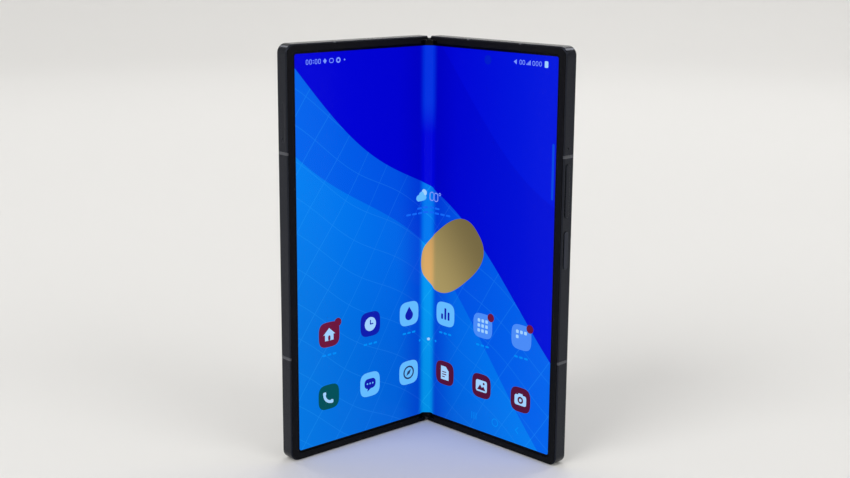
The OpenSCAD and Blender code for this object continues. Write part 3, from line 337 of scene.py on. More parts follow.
def icon_faces():
    """(side, layer, colour, faces) of every icon with its badge and its label's dashes."""
    size = sizes().icon
    for side, out, height, ground, ink, draw, badge in ICONS:
        x = side * out
        yield side, 1, ground, pebble(x, height, size)
        for layer, (name, faces) in enumerate(draw(x, height, size * SYMBOL, ink, ground), 2):
            yield side, layer, name, faces
        if badge:
            shift = size * BADGE_OUT
            yield side, 6, "red", disc(x + shift, height + shift, size * BADGE_RADIUS)
        if height > LABELS_ABOVE:
            label = dashes(x - LABEL_HALF, x + LABEL_HALF, height - LABEL_DROP, 3)
            yield side, 1, "faint", label


def bar_faces():
    """(side, layer, colour, faces) of the marks along the image's edges."""
    top, foot = .1468, .0090
    # the time and three notices
    for x in (-.0573, -.0558, -.0534, -.0519):
        yield LEFT, 1, "pale", hollow(x, top, .0011, .0018)
    yield LEFT, 1, "pale", disc(-.0546, top + .0004, .0002) + disc(-.0546, top - .0004, .0002)
    yield LEFT, 1, "pale", outline(-.0495, top, .0019, (0, .5), (.42, 0), (0, -.5), (-.42, 0))
    yield LEFT, 1, "pale", hollow(-.0466, top, .0020, .0017)
    yield LEFT, 1, "pale", band(-.0435, top, .0005, .0010)
    yield LEFT, 1, "pale", disc(-.0407, top, .0003)
    # sound, network, signal and charge
    yield RIGHT, 1, "pale", outline(.0432, top, .0018, (-.5, 0), (.3, .5), (.3, -.5))
    for x in (.0456, .0470, .0516, .0531, .0547):
        yield RIGHT, 1, "pale", hollow(x, top, .0012, .0017)
    for i in range(4):
        bar = .0005 + .0004 * i
        yield RIGHT, 1, "pale", rounded(.0485 + i * .0005, top - .0008 + bar / 2, .0004, bar, .0001)
    yield RIGHT, 1, "ice", rounded(.0574, top, .0016, .0023, .0004)
    # the three keys along the bottom
    for i in (-1, 0, 1):
        yield RIGHT, 1, "faint", rounded(.0258 + i * .0011, foot, .0003, .0028, .0001)
    yield RIGHT, 1, "faint", band(.0366, foot, .0013, .0016)
    yield RIGHT, 1, "faint", outline(
        .0474, foot, .0030, (.24, .5), (-.28, 0), (.24, -.5), (.34, -.4), (-.08, 0), (.34, .4))
    # the handle at the edge, and the shade over the inner camera
    yield RIGHT, 1, "edge", rounded(.0615, .1092, .0010, .0202, .0005)
    yield RIGHT, 1, "shade", disc(.0300, .1465, .0017)


def fold_faces():
    """(layer, colour, faces) of the weather card and the page marks, which lie across the fold."""
    height, page = .0918, .0342
    yield 1, "ice", disc(-.0020, height + .0013, .0015)
    for name, faces in cloud(-.0036, height - .0002, .0062, "sky", None):
        yield 2, name, faces
    for x in (.0017, .0044):
        yield 1, "pale", hollow(x, height, .0023, .0036, .0004)
    yield 1, "pale", band(.0064, height + .0014, .0003, .0006)
    yield 1, "haze", dashes(-.0060, .0066, height - .0044, 4)
    yield 1, "haze", dashes(-.0116, .0124, height - .0063, 8)
    yield 1, "ice", disc(.0006, page, .0006)
    yield 1, "faint", disc(-.0040, page, .0005) + disc(.0048, page, .0005)


# ---------- node helpers ----------


class Nodes:
    """Builds one material's node tree."""

    def __init__(self, name):
        self.material = bpy.data.materials.new(name)
        self.material.use_nodes = True
        self.tree = self.material.node_tree
        self.shader = self.tree.nodes["Principled BSDF"]

    def add(self, kind, **settings):
        node = self.tree.nodes.new(kind)
        for key, value in settings.items():
            setattr(node, key, value)
        return node

    def put(self, socket, value):
        if isinstance(value, bpy.types.NodeSocket):
            self.tree.links.new(value, socket)
        elif isinstance(value, (tuple, list)) and socket.type == "RGBA":
            socket.default_value = (*value, 1.0)
        else:
            socket.default_value = value

    def math(self, operation, *values):
        node = self.add("ShaderNodeMath", operation=operation)
        for socket, value in zip(node.inputs, values):
            self.put(socket, value)
        return node.outputs[0]

    def mix(self, factor, a, b):
        node = self.add("ShaderNodeMix", data_type="RGBA")
        for name, value in (("Factor", factor), ("A", a), ("B", b)):
            self.put(node.inputs[name], value)
        return node.outputs["Result"]

    def lift(self, value, gain, offset=(0, 0, 0)):
        """A colour times a gain plus an offset."""
        node = self.add("ShaderNodeVectorMath", operation="MULTIPLY_ADD")
        for socket, number in zip(node.inputs, (value, gain, offset)):
            self.put(socket, number)
        return node.outputs["Vector"]

    def spread(self, value, low, high, to_low=0.0, to_high=1.0, smooth=False):
        kind = "SMOOTHSTEP" if smooth else "LINEAR"
        node = self.add("ShaderNodeMapRange", interpolation_type=kind)
        for socket, number in zip(node.inputs, (value, low, high, to_low, to_high)):
            self.put(socket, number)
        return node.outputs["Result"]

    def noise(self, scale, detail, roughness=0.55, stretch=EVEN):
        place = self.add("ShaderNodeTexCoord").outputs["Object"]
        if stretch != EVEN:
            mapping = self.add("ShaderNodeMapping")
            self.put(mapping.inputs["Vector"], place)
            mapping.inputs["Scale"].default_value = stretch
            place = mapping.outputs["Vector"]
        node = self.add("ShaderNodeTexNoise")
        self.put(node.inputs["Vector"], place)
        for name, number in (("Scale", scale), ("Detail", detail), ("Roughness", roughness)):
            node.inputs[name].default_value = number
        return node.outputs["Fac"]

    def bump(self, height, strength, distance, normal=None):
        node = self.add("ShaderNodeBump")
        self.put(node.inputs["Height"], height)
        if normal:
            self.put(node.inputs["Normal"], normal)
        node.inputs["Strength"].default_value = strength
        node.inputs["Distance"].default_value = distance
        self.put(self.shader.inputs["Normal"], node.outputs["Normal"])

    def set(self, **values):
        for name, value in values.items():
            self.put(self.shader.inputs[name.replace("_", " ")], value)


def shades(base, change):
    """A darker and a lighter neighbour of a colour."""
    return [tuple(min(1.0, channel * k) for channel in base) for k in (1 - change, 1 + change)]


# ---------- finishes ----------


def anodised(name, base, roughness=0.25, stretch=EVEN, edge_width=0.0003):
    """Bead-blasted and dyed metal: a fine even grain, slow changes of shade, and lighter edges that are partly
    wear and partly a painted highlight.
    """
    n = Nodes(name)
    body = n.mix(n.noise(60, 3), *shades(base, 0.10))
    grain = n.noise(9000, 2, 0.5, stretch)
    bevel = n.add("ShaderNodeBevel", samples=4)
    bevel.inputs["Radius"].default_value = edge_width
    turn = n.add("ShaderNodeVectorMath", operation="DOT_PRODUCT")
    n.put(turn.inputs[0], bevel.outputs["Normal"])
    n.put(turn.inputs[1], n.add("ShaderNodeNewGeometry").outputs["Normal"])
    # lighter edges: partly wear, partly a painted highlight along the edges
    edge = n.spread(turn.outputs["Value"], 0.99, 0.86, to_high=0.55)
    edge_wear_and_highlight = tuple(min(1.0, channel * 2.4 + 0.03) for channel in base)
    n.set(Base_Color=n.mix(edge, body, edge_wear_and_highlight), Metallic=0.85,
          Roughness=n.spread(grain, 0.3, 0.7, roughness - 0.05, roughness + 0.06))
    n.bump(grain, 0.25, 0.00002, bevel.outputs["Normal"])
    return n.material


def machined(name, base, roughness, stretch):
    """Cut or stamped metal with drawn-out tool marks."""
    n = Nodes(name)
    marks = n.noise(2600, 4, 0.6, stretch)
    n.set(Base_Color=n.mix(n.noise(140, 3), *shades(base, 0.14)), Metallic=1.0,
          Roughness=n.spread(marks, 0.3, 0.7, roughness - 0.08, roughness + 0.1))
    n.bump(marks, 0.3, 0.00002)
    return n.material


def moulded(name, base, roughness, grain, depth, shine):
    """Moulded plastic or rubber: a fine pebbled skin and a slight change of shade."""
    n = Nodes(name)
    skin = n.noise(grain, 3, 0.6)
    n.set(Base_Color=n.mix(n.noise(90, 3), *shades(base, 0.12)), Specular_IOR_Level=shine,
          Roughness=n.spread(skin, 0.3, 0.7, roughness - 0.05, roughness + 0.07))
    n.bump(skin, 0.35, depth)
    return n.material


def gloss(name, base, roughness, shine=0.35):
    """Coated glass over black: smooth, with the faintest waviness and a trace of smears."""
    n = Nodes(name)
    smears = n.noise(38, 5, 0.6, (1, 1, 2.2))
    n.set(Base_Color=n.mix(n.noise(20, 2), *shades(base, 0.2)), Specular_IOR_Level=shine,
          Roughness=n.spread(smears, 0.42, 0.72, roughness, roughness + 0.09, smooth=True))
    n.bump(n.noise(55, 2), 0.04, 0.00005)
    return n.material


def etched(name, base):
    """Satin back glass: tiny even sparkle under a soft sheen."""
    n = Nodes(name)
    frost = n.noise(14000, 2, 0.5)
    sparkle = n.spread(n.noise(7000, 1, 0.4), 0.66, 0.74)
    body = n.mix(n.noise(18, 3), *shades(base, 0.08))
    n.set(Base_Color=n.mix(sparkle, body, tuple(c * 2.2 for c in base)), Metallic=0.35,
          Specular_IOR_Level=0.45, Roughness=n.spread(frost, 0.3, 0.7, 0.30, 0.42),
          Coat_Weight=0.25, Coat_Roughness=0.22)
    n.bump(frost, 0.12, 0.00001)
    return n.material


def border_black():
    """The screen's unlit border, under the same film as the image."""
    n = Nodes("screen_border")
    n.set(Base_Color=n.mix(n.noise(30, 3), *shades(colours().border, 0.25)),
          Roughness=n.spread(n.noise(45, 4), 0.4, 0.7, 0.20, 0.30, smooth=True),
          Specular_IOR_Level=0.08)
    return n.material


def lit_film(name, image):
    """A lit picture under a low-glare film: the light is the picture's, the gloss the film's."""
    n = Nodes(name)
    n.set(Base_Color=(0.0008, 0.0008, 0.001), Emission_Color=image(n), Emission_Strength=1.0,
          Roughness=0.2, Specular_IOR_Level=0.03)
    return n.material


def wallpaper(n):
    """Deep blue over azure, parted by long waves, with contour lines and a sand-coloured pebble.
    The film's sheen is painted into it: painted shade makes the blues darker towards the middle, and a painted
    highlight makes the fold there lighter than all.
    Places and distances are in millimetres."""
    c = colours()
    place = n.add("ShaderNodeSeparateXYZ")
    n.put(place.inputs[0], n.add("ShaderNodeUVMap", uv_map="screen").outputs["UV"])
    x, z = (n.math("MULTIPLY", place.outputs[axis], 1000.0) for axis in (0, 1))

    def wave(height, slope, swell, period, phase):
        """Depth below a sloping wave."""
        ripple = n.math("SINE", n.math("ADD", n.math("DIVIDE", x, period), phase))
        crest = n.math("MULTIPLY_ADD", x, slope, n.math("MULTIPLY_ADD", ripple, swell, height))
        return n.math("SUBTRACT", crest, z)

    def step(depth, soft=0.12):
        return n.spread(depth, -soft, soft, smooth=True)

    def lines(slope, period):
        """Thin bent lines, a period apart."""
        bend = n.math("SINE", n.math("DIVIDE", x, 8.0))
        across = n.math("MULTIPLY_ADD", bend, 1.6, n.math("MULTIPLY_ADD", x, slope, z))
        share = n.math("FRACT", n.math("DIVIDE", across, period))
        return n.spread(n.math("ABSOLUTE", n.math("SUBTRACT", share, 0.5)), 0.016, 0.006)

    # deep blue, a little greener to the right, with a darker shadow on its upper part
    right_blue = tuple(k + more for k, more in zip(c.deep, (0, 0.006, 0)))
    sky = n.mix(n.spread(x, -10, 62, smooth=True), tuple(c.deep), right_blue)
    shadow = step(wave(height=150.0, slope=-0.75, swell=9.0, period=19.0, phase=2.2), 0.3)
    sky = n.mix(n.math("MULTIPLY", shadow, 0.35), sky, (0.0, 0.0, 0.56))

    # azure below, with a band along its edge and a net of lines
    upper = wave(height=94.0, slope=-0.80, swell=6.0, period=17.0, phase=0.4)
    lower = wave(height=64.0, slope=-0.92, swell=8.0, period=21.0, phase=1.5)
    foot_blue = tuple(k * 0.86 for k in c.azure)
    inner = n.mix(n.spread(lower, 0, 70, smooth=True), tuple(c.azure), foot_blue)
    water = n.mix(step(lower), tuple(c.middle), inner)
    net = n.math("MAXIMUM", lines(0.62, 13.0), lines(-1.5, 21.0))
    water = n.mix(n.math("MULTIPLY", net, 0.20), water, (0.03, 0.36, 1.0))
    scene = n.mix(step(upper), sky, water)

    # the pebble: its middle, the direction of its length, its half lengths and how it bulges
    middle, cosine, sine, half_length, half_width, bulge = (13.0, 70.0), 0.77, 0.64, 17.5, 11.5, 2.7
    right, up = (n.math("SUBTRACT", value, start) for value, start in zip((x, z), middle))
    along = n.math("MULTIPLY_ADD", right, cosine, n.math("MULTIPLY", up, sine))
    aside = n.math("MULTIPLY_ADD", right, -sine, n.math("MULTIPLY", up, cosine))
    reach = n.math("ADD", *(
        n.math("POWER", n.math("ABSOLUTE", n.math("DIVIDE", way, half)), bulge)
        for way, half in ((along, half_length), (aside, half_width))))
    dark_sand = tuple(k * 0.45 for k in c.sand)
    tone = n.mix(n.spread(along, -17, 17, smooth=True), tuple(c.sand), dark_sand)

    # painted light, not the film's own gloss: painted shade beside the fold that gives way to a painted sheen
    # towards the outer edges, a painted highlight on the fold that is strongest near the top, and the same painted
    # highlight on the pebble
    out = n.math("ABSOLUTE", x)
    crease = n.spread(out, 5.2, 0.6, smooth=True)
    outer = n.mix(n.spread(out, 18, 62), (1, 0.84, 0.96), (1, 1.30, 1.05))
    dimming = n.mix(n.spread(out, 3, 18, smooth=True), (1, 0.42, 0.84), outer)
    # painted highlight on the upper part of the fold
    top_light = n.mix(n.spread(z, 115, 130, smooth=True), (0, 0, 0), (0, 0.032, 0.05))
    painted_fold_highlight = n.lift(scene, (1.0, 1.93, 1.10), top_light)
    scene = n.mix(crease, n.lift(scene, dimming), painted_fold_highlight)
    # the pebble takes the painted highlight on the fold too
    tone = n.mix(crease, tone, n.lift(tone, (1.75, 1.30, 1.15)))
    return n.mix(n.spread(reach, 1.01, 0.99), scene, tone)


def lens_coating():
    """Dark domed glass whose anti-glare coating turns from violet to green with the angle."""
    n = Nodes("coated_lens")
    facing = n.add("ShaderNodeLayerWeight").outputs["Facing"]
    n.set(Base_Color=n.mix(n.noise(900, 2), (0.004, 0.004, 0.010), (0.007, 0.006, 0.016)),
          Specular_Tint=n.mix(facing, (0.45, 0.35, 1.0), (0.35, 1.0, 0.62)),
          Specular_IOR_Level=0.9, Roughness=0.03, Coat_Weight=0.6, Coat_Roughness=0.02)
    return n.material


def clear_cover():
    """Clear lens cover with a hint of blue, its glare taken off by a coating."""
    n = Nodes("clear_cover")
    n.set(Base_Color=(0.93, 0.96, 1.0), Transmission_Weight=1.0, IOR=1.16,
          Roughness=n.spread(n.noise(300, 3), 0.5, 0.8, 0.0, 0.03))
    return n.material


def diffuser():
    """Frosted flash window with rings moulded in it."""
    n = Nodes("flash_diffuser")
    n.set(Base_Color=n.mix(n.noise(2500, 3), (0.80, 0.76, 0.62), (0.90, 0.87, 0.76)),
          Roughness=0.32, Subsurface_Weight=0.2, Subsurface_Scale=0.001)
    n.bump(n.noise(3000, 2), 0.3, 0.00004)
    return n.material


def laminate():
    """Solder-masked board with the faint relief of its tracks."""
    n = Nodes("board_laminate")
    tracks = n.add("ShaderNodeTexBrick")
    n.put(tracks.inputs["Vector"], n.add("ShaderNodeTexCoord").outputs["Object"])
    tracks.inputs["Scale"].default_value = 420
    n.put(tracks.inputs["Color1"], (0.010, 0.060, 0.034))
    n.put(tracks.inputs["Color2"], (0.014, 0.080, 0.045))
    n.put(tracks.inputs["Mortar"], (0.022, 0.110, 0.058))
    n.set(Base_Color=tracks.outputs["Color"], Roughness=0.38)
    n.bump(tracks.outputs["Fac"], 0.3, 0.00003)
    return n.material


def finishes():
    """The finish of each material slot in the record."""
    c = colours()
    made = {
        "screen_film": border_black(),
        "lens_glass": clear_cover(),
        "flash_diffuser": diffuser(),
        "board_laminate": laminate(),
        "rear_glass": etched("rear_glass", c.rear),
        "frame_metal": anodised("frame_metal", c.metal),
        "island_metal": anodised("island_metal", c.metal, roughness=0.26),
        "spine_metal": anodised("spine_metal", c.spine, roughness=0.30, stretch=(1, 1, 0.2)),
        "cover_glass": gloss("cover_glass", (0.003, 0.003, 0.004), roughness=0.05, shine=0.22),
        "cover_screen": gloss("cover_screen", (0.003, 0.003, 0.005), roughness=0.1),
    }
    for name, base, roughness, stretch in (
            ("hinge_steel", (0.42, 0.43, 0.45), 0.30, (1, 1, 14)),
            ("spring_steel", (0.5, 0.51, 0.53), 0.22, EVEN),
            ("gear_brass", (0.60, 0.46, 0.20), 0.26, EVEN),
            ("shield_steel", (0.62, 0.63, 0.64), 0.34, (1, 1, 6)),
            ("motor_steel", (0.55, 0.56, 0.57), 0.28, (1, 1, 14)),
            ("magnet_nickel", (0.72, 0.71, 0.69), 0.14, EVEN),
            ("coil_copper", (0.62, 0.30, 0.13), 0.34, EVEN)):
        made[name] = machined(name, base, roughness, stretch)
    for name, base, roughness, grain, depth, shine in (
            ("spine_plastic", (0.016, 0.018, 0.024), 0.45, 5200, 0.00002, 0.5),
            ("antenna_plastic", (0.046, 0.049, 0.062), 0.36, 5200, 0.00002, 0.5),
            ("module_plastic", (0.010, 0.010, 0.011), 0.50, 5200, 0.00002, 0.5),
            ("rim_rubber", (0.0022, 0.0022, 0.0024), 0.50, 6500, 0.00001, 0.12),
            ("camera_black", (0.003, 0.003, 0.0035), 0.45, 9000, 0.00001, 0.1),
            ("battery_pouch", (0.03, 0.03, 0.032), 0.35, 1500, 0.00005, 0.5),
            ("flex_polyimide", (0.36, 0.16, 0.02), 0.30, 2200, 0.00002, 0.5)):
        made[name] = moulded(name, base, roughness, grain, depth, shine)
    return made


# ---------- making objects ----------


def new_object(name, mesh_maker, materials, slot_name):
    """A linked object whose mesh the maker fills; the slot name is not used."""
    mesh = bpy.data.meshes.new(name)
    bm = bmesh.new()
    mesh_maker(bm)
    bm.to_mesh(mesh)
    bm.free()
    for material in materials:
        mesh.materials.append(material)
    piece = bpy.data.objects.new(name, mesh)
    bpy.context.scene.collection.objects.link(piece)
    return piece


def finish_of(node):
    """The finish that a solid has been given."""
    return frame["nodes"][node].data.materials[0]


def smooth(piece, angle=35):
    piece.data.shade_smooth()
    piece.data.set_sharp_from_angle(angle=math.radians(angle))


def add_sheet(bm, side, faces, depth, material_index=0):
    """Faces laid on one half's screen, looking out of it, with their flat place as UV."""
    uv = bm.loops.layers.uv.get("screen") or bm.loops.layers.uv.new("screen")
    outward = on_half(side, 0, 0, -1) - on_half(side, 0, 0, 0)
    for points in faces:
        face = bm.faces.new([bm.verts.new(on_half(side, side * x, z, depth)) for x, z in points])
        face.material_index = material_index
        for loop, (x, z) in zip(face.loops, points):
            loop[uv].uv = (x, z)
        face.normal_update()
        if face.normal.dot(outward) < 0:
            face.normal_flip()


class PHONE_OT_image(bpy.types.Operator):
    """Adds the lit image on the flat part of each half's screen"""
    bl_idname = "phone.image"
    bl_label = "Screen Image"

    def execute(self, context):
        s = sizes()
        film = lit_film("lit_image", wallpaper)
        right, top, r = s.half_width - s.border, s.body_height - s.border, s.image_corner
        quarter, steps = math.pi / 2, 6
        half = [(s.bend_half, s.border), (right - r, s.border)]
        half += circle_points(right - r, s.border + r, r, -quarter, 0, steps)[1:]
        half += circle_points(right - r, top - r, r, 0, quarter, steps) + [(s.bend_half, top)]
        for side in (LEFT, RIGHT):
            def draw(bm):
                add_sheet(bm, side, [[(side * x, z) for x, z in half]], -s.ink)
            piece = new_object(f"screen_image_{WORD[side]}", draw, [film], "screen_film")
            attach(piece, BODY[side])
        return {"FINISHED"}


class PHONE_OT_symbols(bpy.types.Operator):
    """Adds the icons, status marks and keys that show on the screen"""
    bl_idname = "phone.symbols"
    bl_label = "Screen Symbols"

    def execute(self, context):
        names = list(INKS)
        films = [lit_film(f"ink_{name}", lambda n, name=name: INKS[name]) for name in names]
        drawn = list(icon_faces()) + list(bar_faces())
        for side in (LEFT, RIGHT):
            def draw(bm):
                for where, layer, name, faces in drawn:
                    if where == side:
                        add_sheet(bm, side, faces, -sizes().ink * (1 + layer), names.index(name))
            piece = new_object(f"screen_symbols_{WORD[side]}", draw, films, "screen_film")
            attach(piece, BODY[side])
        return {"FINISHED"}


class PHONE_OT_fold(bpy.types.Operator):
    """Adds the two halves of the screen's bending strip, in place of the stiff solid"""
    bl_idname = "phone.fold"
    bl_label = "Bending Strip"

    columns: bpy.props.IntProperty(
        name="Columns", description="Steps across each half of the strip", default=18, min=4)

    def execute(self, context):
        s = sizes()
        films = [bpy.data.materials[name] for name in ("screen_border", "lit_image")]
        heights = [s.strip_end, s.border, s.body_height - s.border, s.body_height - s.strip_end]
        lit_row = 1  # the row between the two borders
        places = [s.bend_half * i / self.columns for i in range(self.columns + 1)]
        rows, steps = range(len(heights) - 1), range(self.columns)

        def strip(side):
            def draw(bm):
                uv = bm.loops.layers.uv.new("screen")
                flat = {}

                def corner(x, z, depth):
                    vert = bm.verts.new(on_bend(side, x, z, depth))
                    flat[vert] = (side * x, z)
                    return vert

                front, back = ([[corner(x, z, depth) for z in heights] for x in places]
                               for depth in (0, s.screen_thickness))
                for layer in (front, back):
                    for i in steps:
                        for k in rows:
                            face = bm.faces.new((layer[i][k], layer[i + 1][k],
                                                 layer[i + 1][k + 1], layer[i][k + 1]))
                            face.material_index = int(layer is front and k == lit_row)
                for i in steps:
                    for k in (0, -1):
                        bm.faces.new((front[i][k], front[i + 1][k], back[i + 1][k], back[i][k]))
                for k in rows:
                    for i in (0, -1):
                        bm.faces.new((front[i][k], front[i][k + 1], back[i][k + 1], back[i][k]))
                bmesh.ops.recalc_face_normals(bm, faces=bm.faces)
                for face in bm.faces:
                    for loop in face.loops:
                        loop[uv].uv = flat[loop.vert]
            return draw

        for side in (LEFT, RIGHT):
            piece = new_object(f"screen_fold_{WORD[side]}", strip(side), films, "screen_film")
            smooth(piece, 60)
            start, end = bend_ends(side)
            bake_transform(piece)
            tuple(start)
            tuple(end)
            if side == LEFT:
                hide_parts("screen_bend_zone")
        return {"FINISHED"}


class PHONE_OT_card(bpy.types.Operator):
    """Adds the marks that lie across the fold, cut fine enough to bend with it"""
    bl_idname = "phone.card"
    bl_label = "Marks on the Fold"

    step: length("Step", "Widest face in the bending strip", 0.0002)

    def execute(self, context):
        s = sizes()
        names = list(INKS)
        films = [bpy.data.materials[f"ink_{name}"] for name in names]
        cuts = math.ceil(s.bend_half / self.step)
        for side in (LEFT, RIGHT):
            def draw(bm):
                for layer, name, faces in fold_faces():
                    depth = -s.ink * (1 + layer)
                    for points in faces:
                        face = bm.faces.new([bm.verts.new((x, depth, z)) for x, z in points])
                        face.material_index = names.index(name)
                        face.normal_update()
                        if face.normal.y > 0:
                            face.normal_flip()
                # the first cut is the hinge line, and what lies beyond it goes
                for i in range(cuts + 1):
                    bmesh.ops.bisect_plane(
                        bm, geom=bm.verts[:] + bm.edges[:] + bm.faces[:], dist=1e-7,
                        plane_co=(side * i * s.bend_half / cuts, 0, 0), plane_no=(side, 0, 0),
                        clear_inner=i == 0)
                for vert in bm.verts:
                    x, depth, z = vert.co
                    vert.co = on_bend(side, abs(x), z, depth)

            piece = new_object(f"screen_card_{WORD[side]}", draw, films, "screen_film")
            start, end = bend_ends(side)
            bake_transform(piece)
            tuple(start)
            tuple(end)
        return {"FINISHED"}


class PHONE_OT_ribbon(bpy.types.Operator):
    """Adds the two halves of the ribbon cable through the hinge, in place of the stiff solid"""
    bl_idname = "phone.ribbon"
    bl_label = "Ribbon Cable"

    mouth_out: length("Mouth", "From the hinge line to the slit in a half's hinge wall", 0.0056)
    mouth_depth: length("Mouth depth", "From the screen surface to the ribbon in the slit", 0.0011)
    rest_out: length("Still part", "Half width of the part that lies still in the spine", 0.0006)
    rest_depth: length("Still depth", "From the screen surface to the ribbon in the spine", 0.0030)

    def execute(self, context):
        solid, film = frame["nodes"]["hinge_ribbon"].data, finish_of("hinge_ribbon")
        for side in (LEFT, RIGHT):
            def draw(bm):
                bm.from_mesh(solid)
                whole = bm.verts[:] + bm.edges[:] + bm.faces[:]
                cut = bmesh.ops.bisect_plane(
                    bm, geom=whole, plane_no=(side, 0, 0), clear_inner=True)
                rim = [part for part in cut["geom_cut"] if isinstance(part, bmesh.types.BMEdge)]
                bmesh.ops.holes_fill(bm, edges=rim)

            piece = new_object(f"ribbon_{WORD[side]}", draw, [film], "flex_polyimide")
            smooth(piece, 30)
            on_half(side, self.mouth_out, 0, self.mouth_depth)
            turned(side, self.rest_out, 0, self.rest_depth, 0)
            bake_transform(piece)
            if side == LEFT:
                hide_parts("hinge_ribbon")
        return {"FINISHED"}


class PHONE_OT_finishes(bpy.types.Operator):
    """Gives every solid its finish"""
    bl_idname = "phone.finishes"
    bl_label = "Finishes"

    def execute(self, context):
        made = finishes()
        # the power key gets a smoother copy of the frame metal, made lighter as a painted highlight for the light
        # its flat face catches
        lighter = tuple(1.9 * channel for channel in colours().metal)
        smooth_painted_key = anodised("polished_key", lighter, roughness=0.2, edge_width=0.0002)
        for part in frame["record"]["subparts"]:
            solid = frame["nodes"][part["node"]]
            finish = smooth_painted_key if part["node"] == "power_key" else made[part["material_slot"]]
            solid.data.materials.clear()
            solid.data.materials.append(finish)
        return {"FINISHED"}


class PHONE_OT_optics(bpy.types.Operator):
    """Adds the coated front elements of the cameras and the rings of the flash window"""
    bl_idname = "phone.optics"
    bl_label = "Lens Elements"

    line: length("Lens line", "From the hinge line to the line of the rear lenses", 0.0534)
    middle: length("Middle lens", "Height of the middle rear lens", 0.1236)
    pitch: length("Lens pitch", "Spacing of the rear lenses", 0.0152)
    cover_under: length(
        "Cover underside", "From the screen surface to the underside of the lens covers", 0.00655)
    well: length("Lens depth", "From the lens covers down to the elements", 0.0012)
    element: length("Element radius", "Radius of a rear lens's front element", 0.0021)
    element_rise: length("Element rise", "How far a front element bulges", 0.00062)
    tread: length("Baffle tread", "Width of each step of the baffle", 0.0003)
    riser: length("Baffle riser", "Height of each step of the baffle", 0.0002)
    flash_out: length("Flash line", "From the hinge line to the flash", 0.0578)
    flash_height: length("Flash height", "Height of the flash", 0.1021)
    flash_top: length("Flash face", "From the screen surface to the face of the flash", 0.00685)
    flash_radius: length("Flash radius", "Radius of the ringed part of the flash", 0.00135)
    flash_pitch: length("Flash pitch", "Spacing of the rings in the flash", 0.00018)
    front_out: length(
        "Cover camera line", "From the hinge line to the camera in the cover glass", 0.0365)
    front_height: length(
        "Cover camera height", "Height of the camera in the cover glass", 0.1472)

    def execute(self, context):
        coating, baffle = lens_coating(), finish_of("camera_modules")
        base = self.cover_under - self.well
        # a domed front element, then the stepped baffle round it
        dome = self.dome(self.element, base, self.element_rise, 10)
        steps = [(self.element + (i + 1) // 2 * self.tread, base + i // 2 * self.riser + 0.00005)
                 for i in range(7)]
        for i in (-1, 0, 1):
            centre = (RIGHT, self.line, self.middle + i * self.pitch)
            self.add(f"lens_element_{i + 2}", centre, dome, coating, "camera_black")
            self.add(f"lens_baffle_{i + 2}", centre, steps, baffle, "camera_black")
        # rings with a slow and a steep flank, inside a flat edge
        face, low, high, flank = self.flash_top, 0.00001, 0.00005, 0.00004
        rings = [(0, face)]
        for crest in (self.flash_pitch * i for i in range(1, 8)):
            rings += [(crest - flank, face + low), (crest, face + high)]
        rings.append((self.flash_radius, face))
        self.add("flash_rings", (RIGHT, self.flash_out, self.flash_height), rings,
                 finish_of("flash_window"), "flash_diffuser")
        # the small element in the cover glass, with its sunk rim
        top = sizes().thickness
        small = self.dome(0.00085, top - 0.00008, 0.00006, 8)
        small += [(0.0011, top - 0.00003), (0.0012, top - 0.00003), (0.0012, top - 0.00006)]
        self.add("cover_camera_element", (LEFT, self.front_out, self.front_height), small,
                 coating, "camera_black")
        return {"FINISHED"}

    @staticmethod
    def dome(radius, base, rise, steps):
        """Half the outline of a dome, from its top down to its edge."""
        angles = [i * math.pi / (2 * steps) for i in range(steps + 1)]
        return [(radius * math.sin(a), base + rise * math.cos(a)) for a in angles]

    @staticmethod
    def add(name, centre, profile, material, slot_name, sides=40):
        """A turned piece about an axis that looks out of the back of a half."""
        side, x, z = centre
        middle = on_half(side, x, z)
        out = (on_half(side, x, z, 1) - middle).normalized()
        across = out.cross(UP).normalized()

        def draw(bm):
            rows = []
            for radius, depth in profile:
                count = 1 if radius == 0 else sides
                spokes = [across * math.cos(a) + UP * math.sin(a)
                          for a in (2 * math.pi * k / sides for k in range(count))]
                rows.append([bm.verts.new(middle + out * depth + spoke * radius)
                             for spoke in spokes])
            for inner, outer in zip(rows, rows[1:]):
                for k in range(sides):
                    after = k + 1
                    ring = [inner[k % len(inner)], outer[k], outer[after % sides],
                            inner[after % len(inner)]]
                    bm.faces.new(list(dict.fromkeys(ring)))
            bmesh.ops.recalc_face_normals(bm, faces=bm.faces)
            bm.faces.ensure_lookup_table()
            if bm.faces[0].normal.dot(out) < 0:
                bmesh.ops.reverse_faces(bm, faces=bm.faces)

        piece = new_object(name, draw, [material], slot_name)
        smooth(piece, 30)
        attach(piece, BODY[side])


# The lamps: name, place, width, power in watts. All of them look at the phone's middle.
LAMPS = (
    ("key_light", (-1.25, -1.35, 1.55), 1.5, 23),
    ("fill_light", (1.45, -1.05, 1.10), 1.3, 10),
    ("back_light", (0.10, 1.50, 1.45), 1.2, 9),
    ("rim_light_right", (1.15, 0.95, 1.40), 0.6, 6),
    ("rim_light_left", (-1.15, 0.95, 1.40), 0.5, 4),
)
LAMP_TARGET = Vector((0, 0, 0.08))


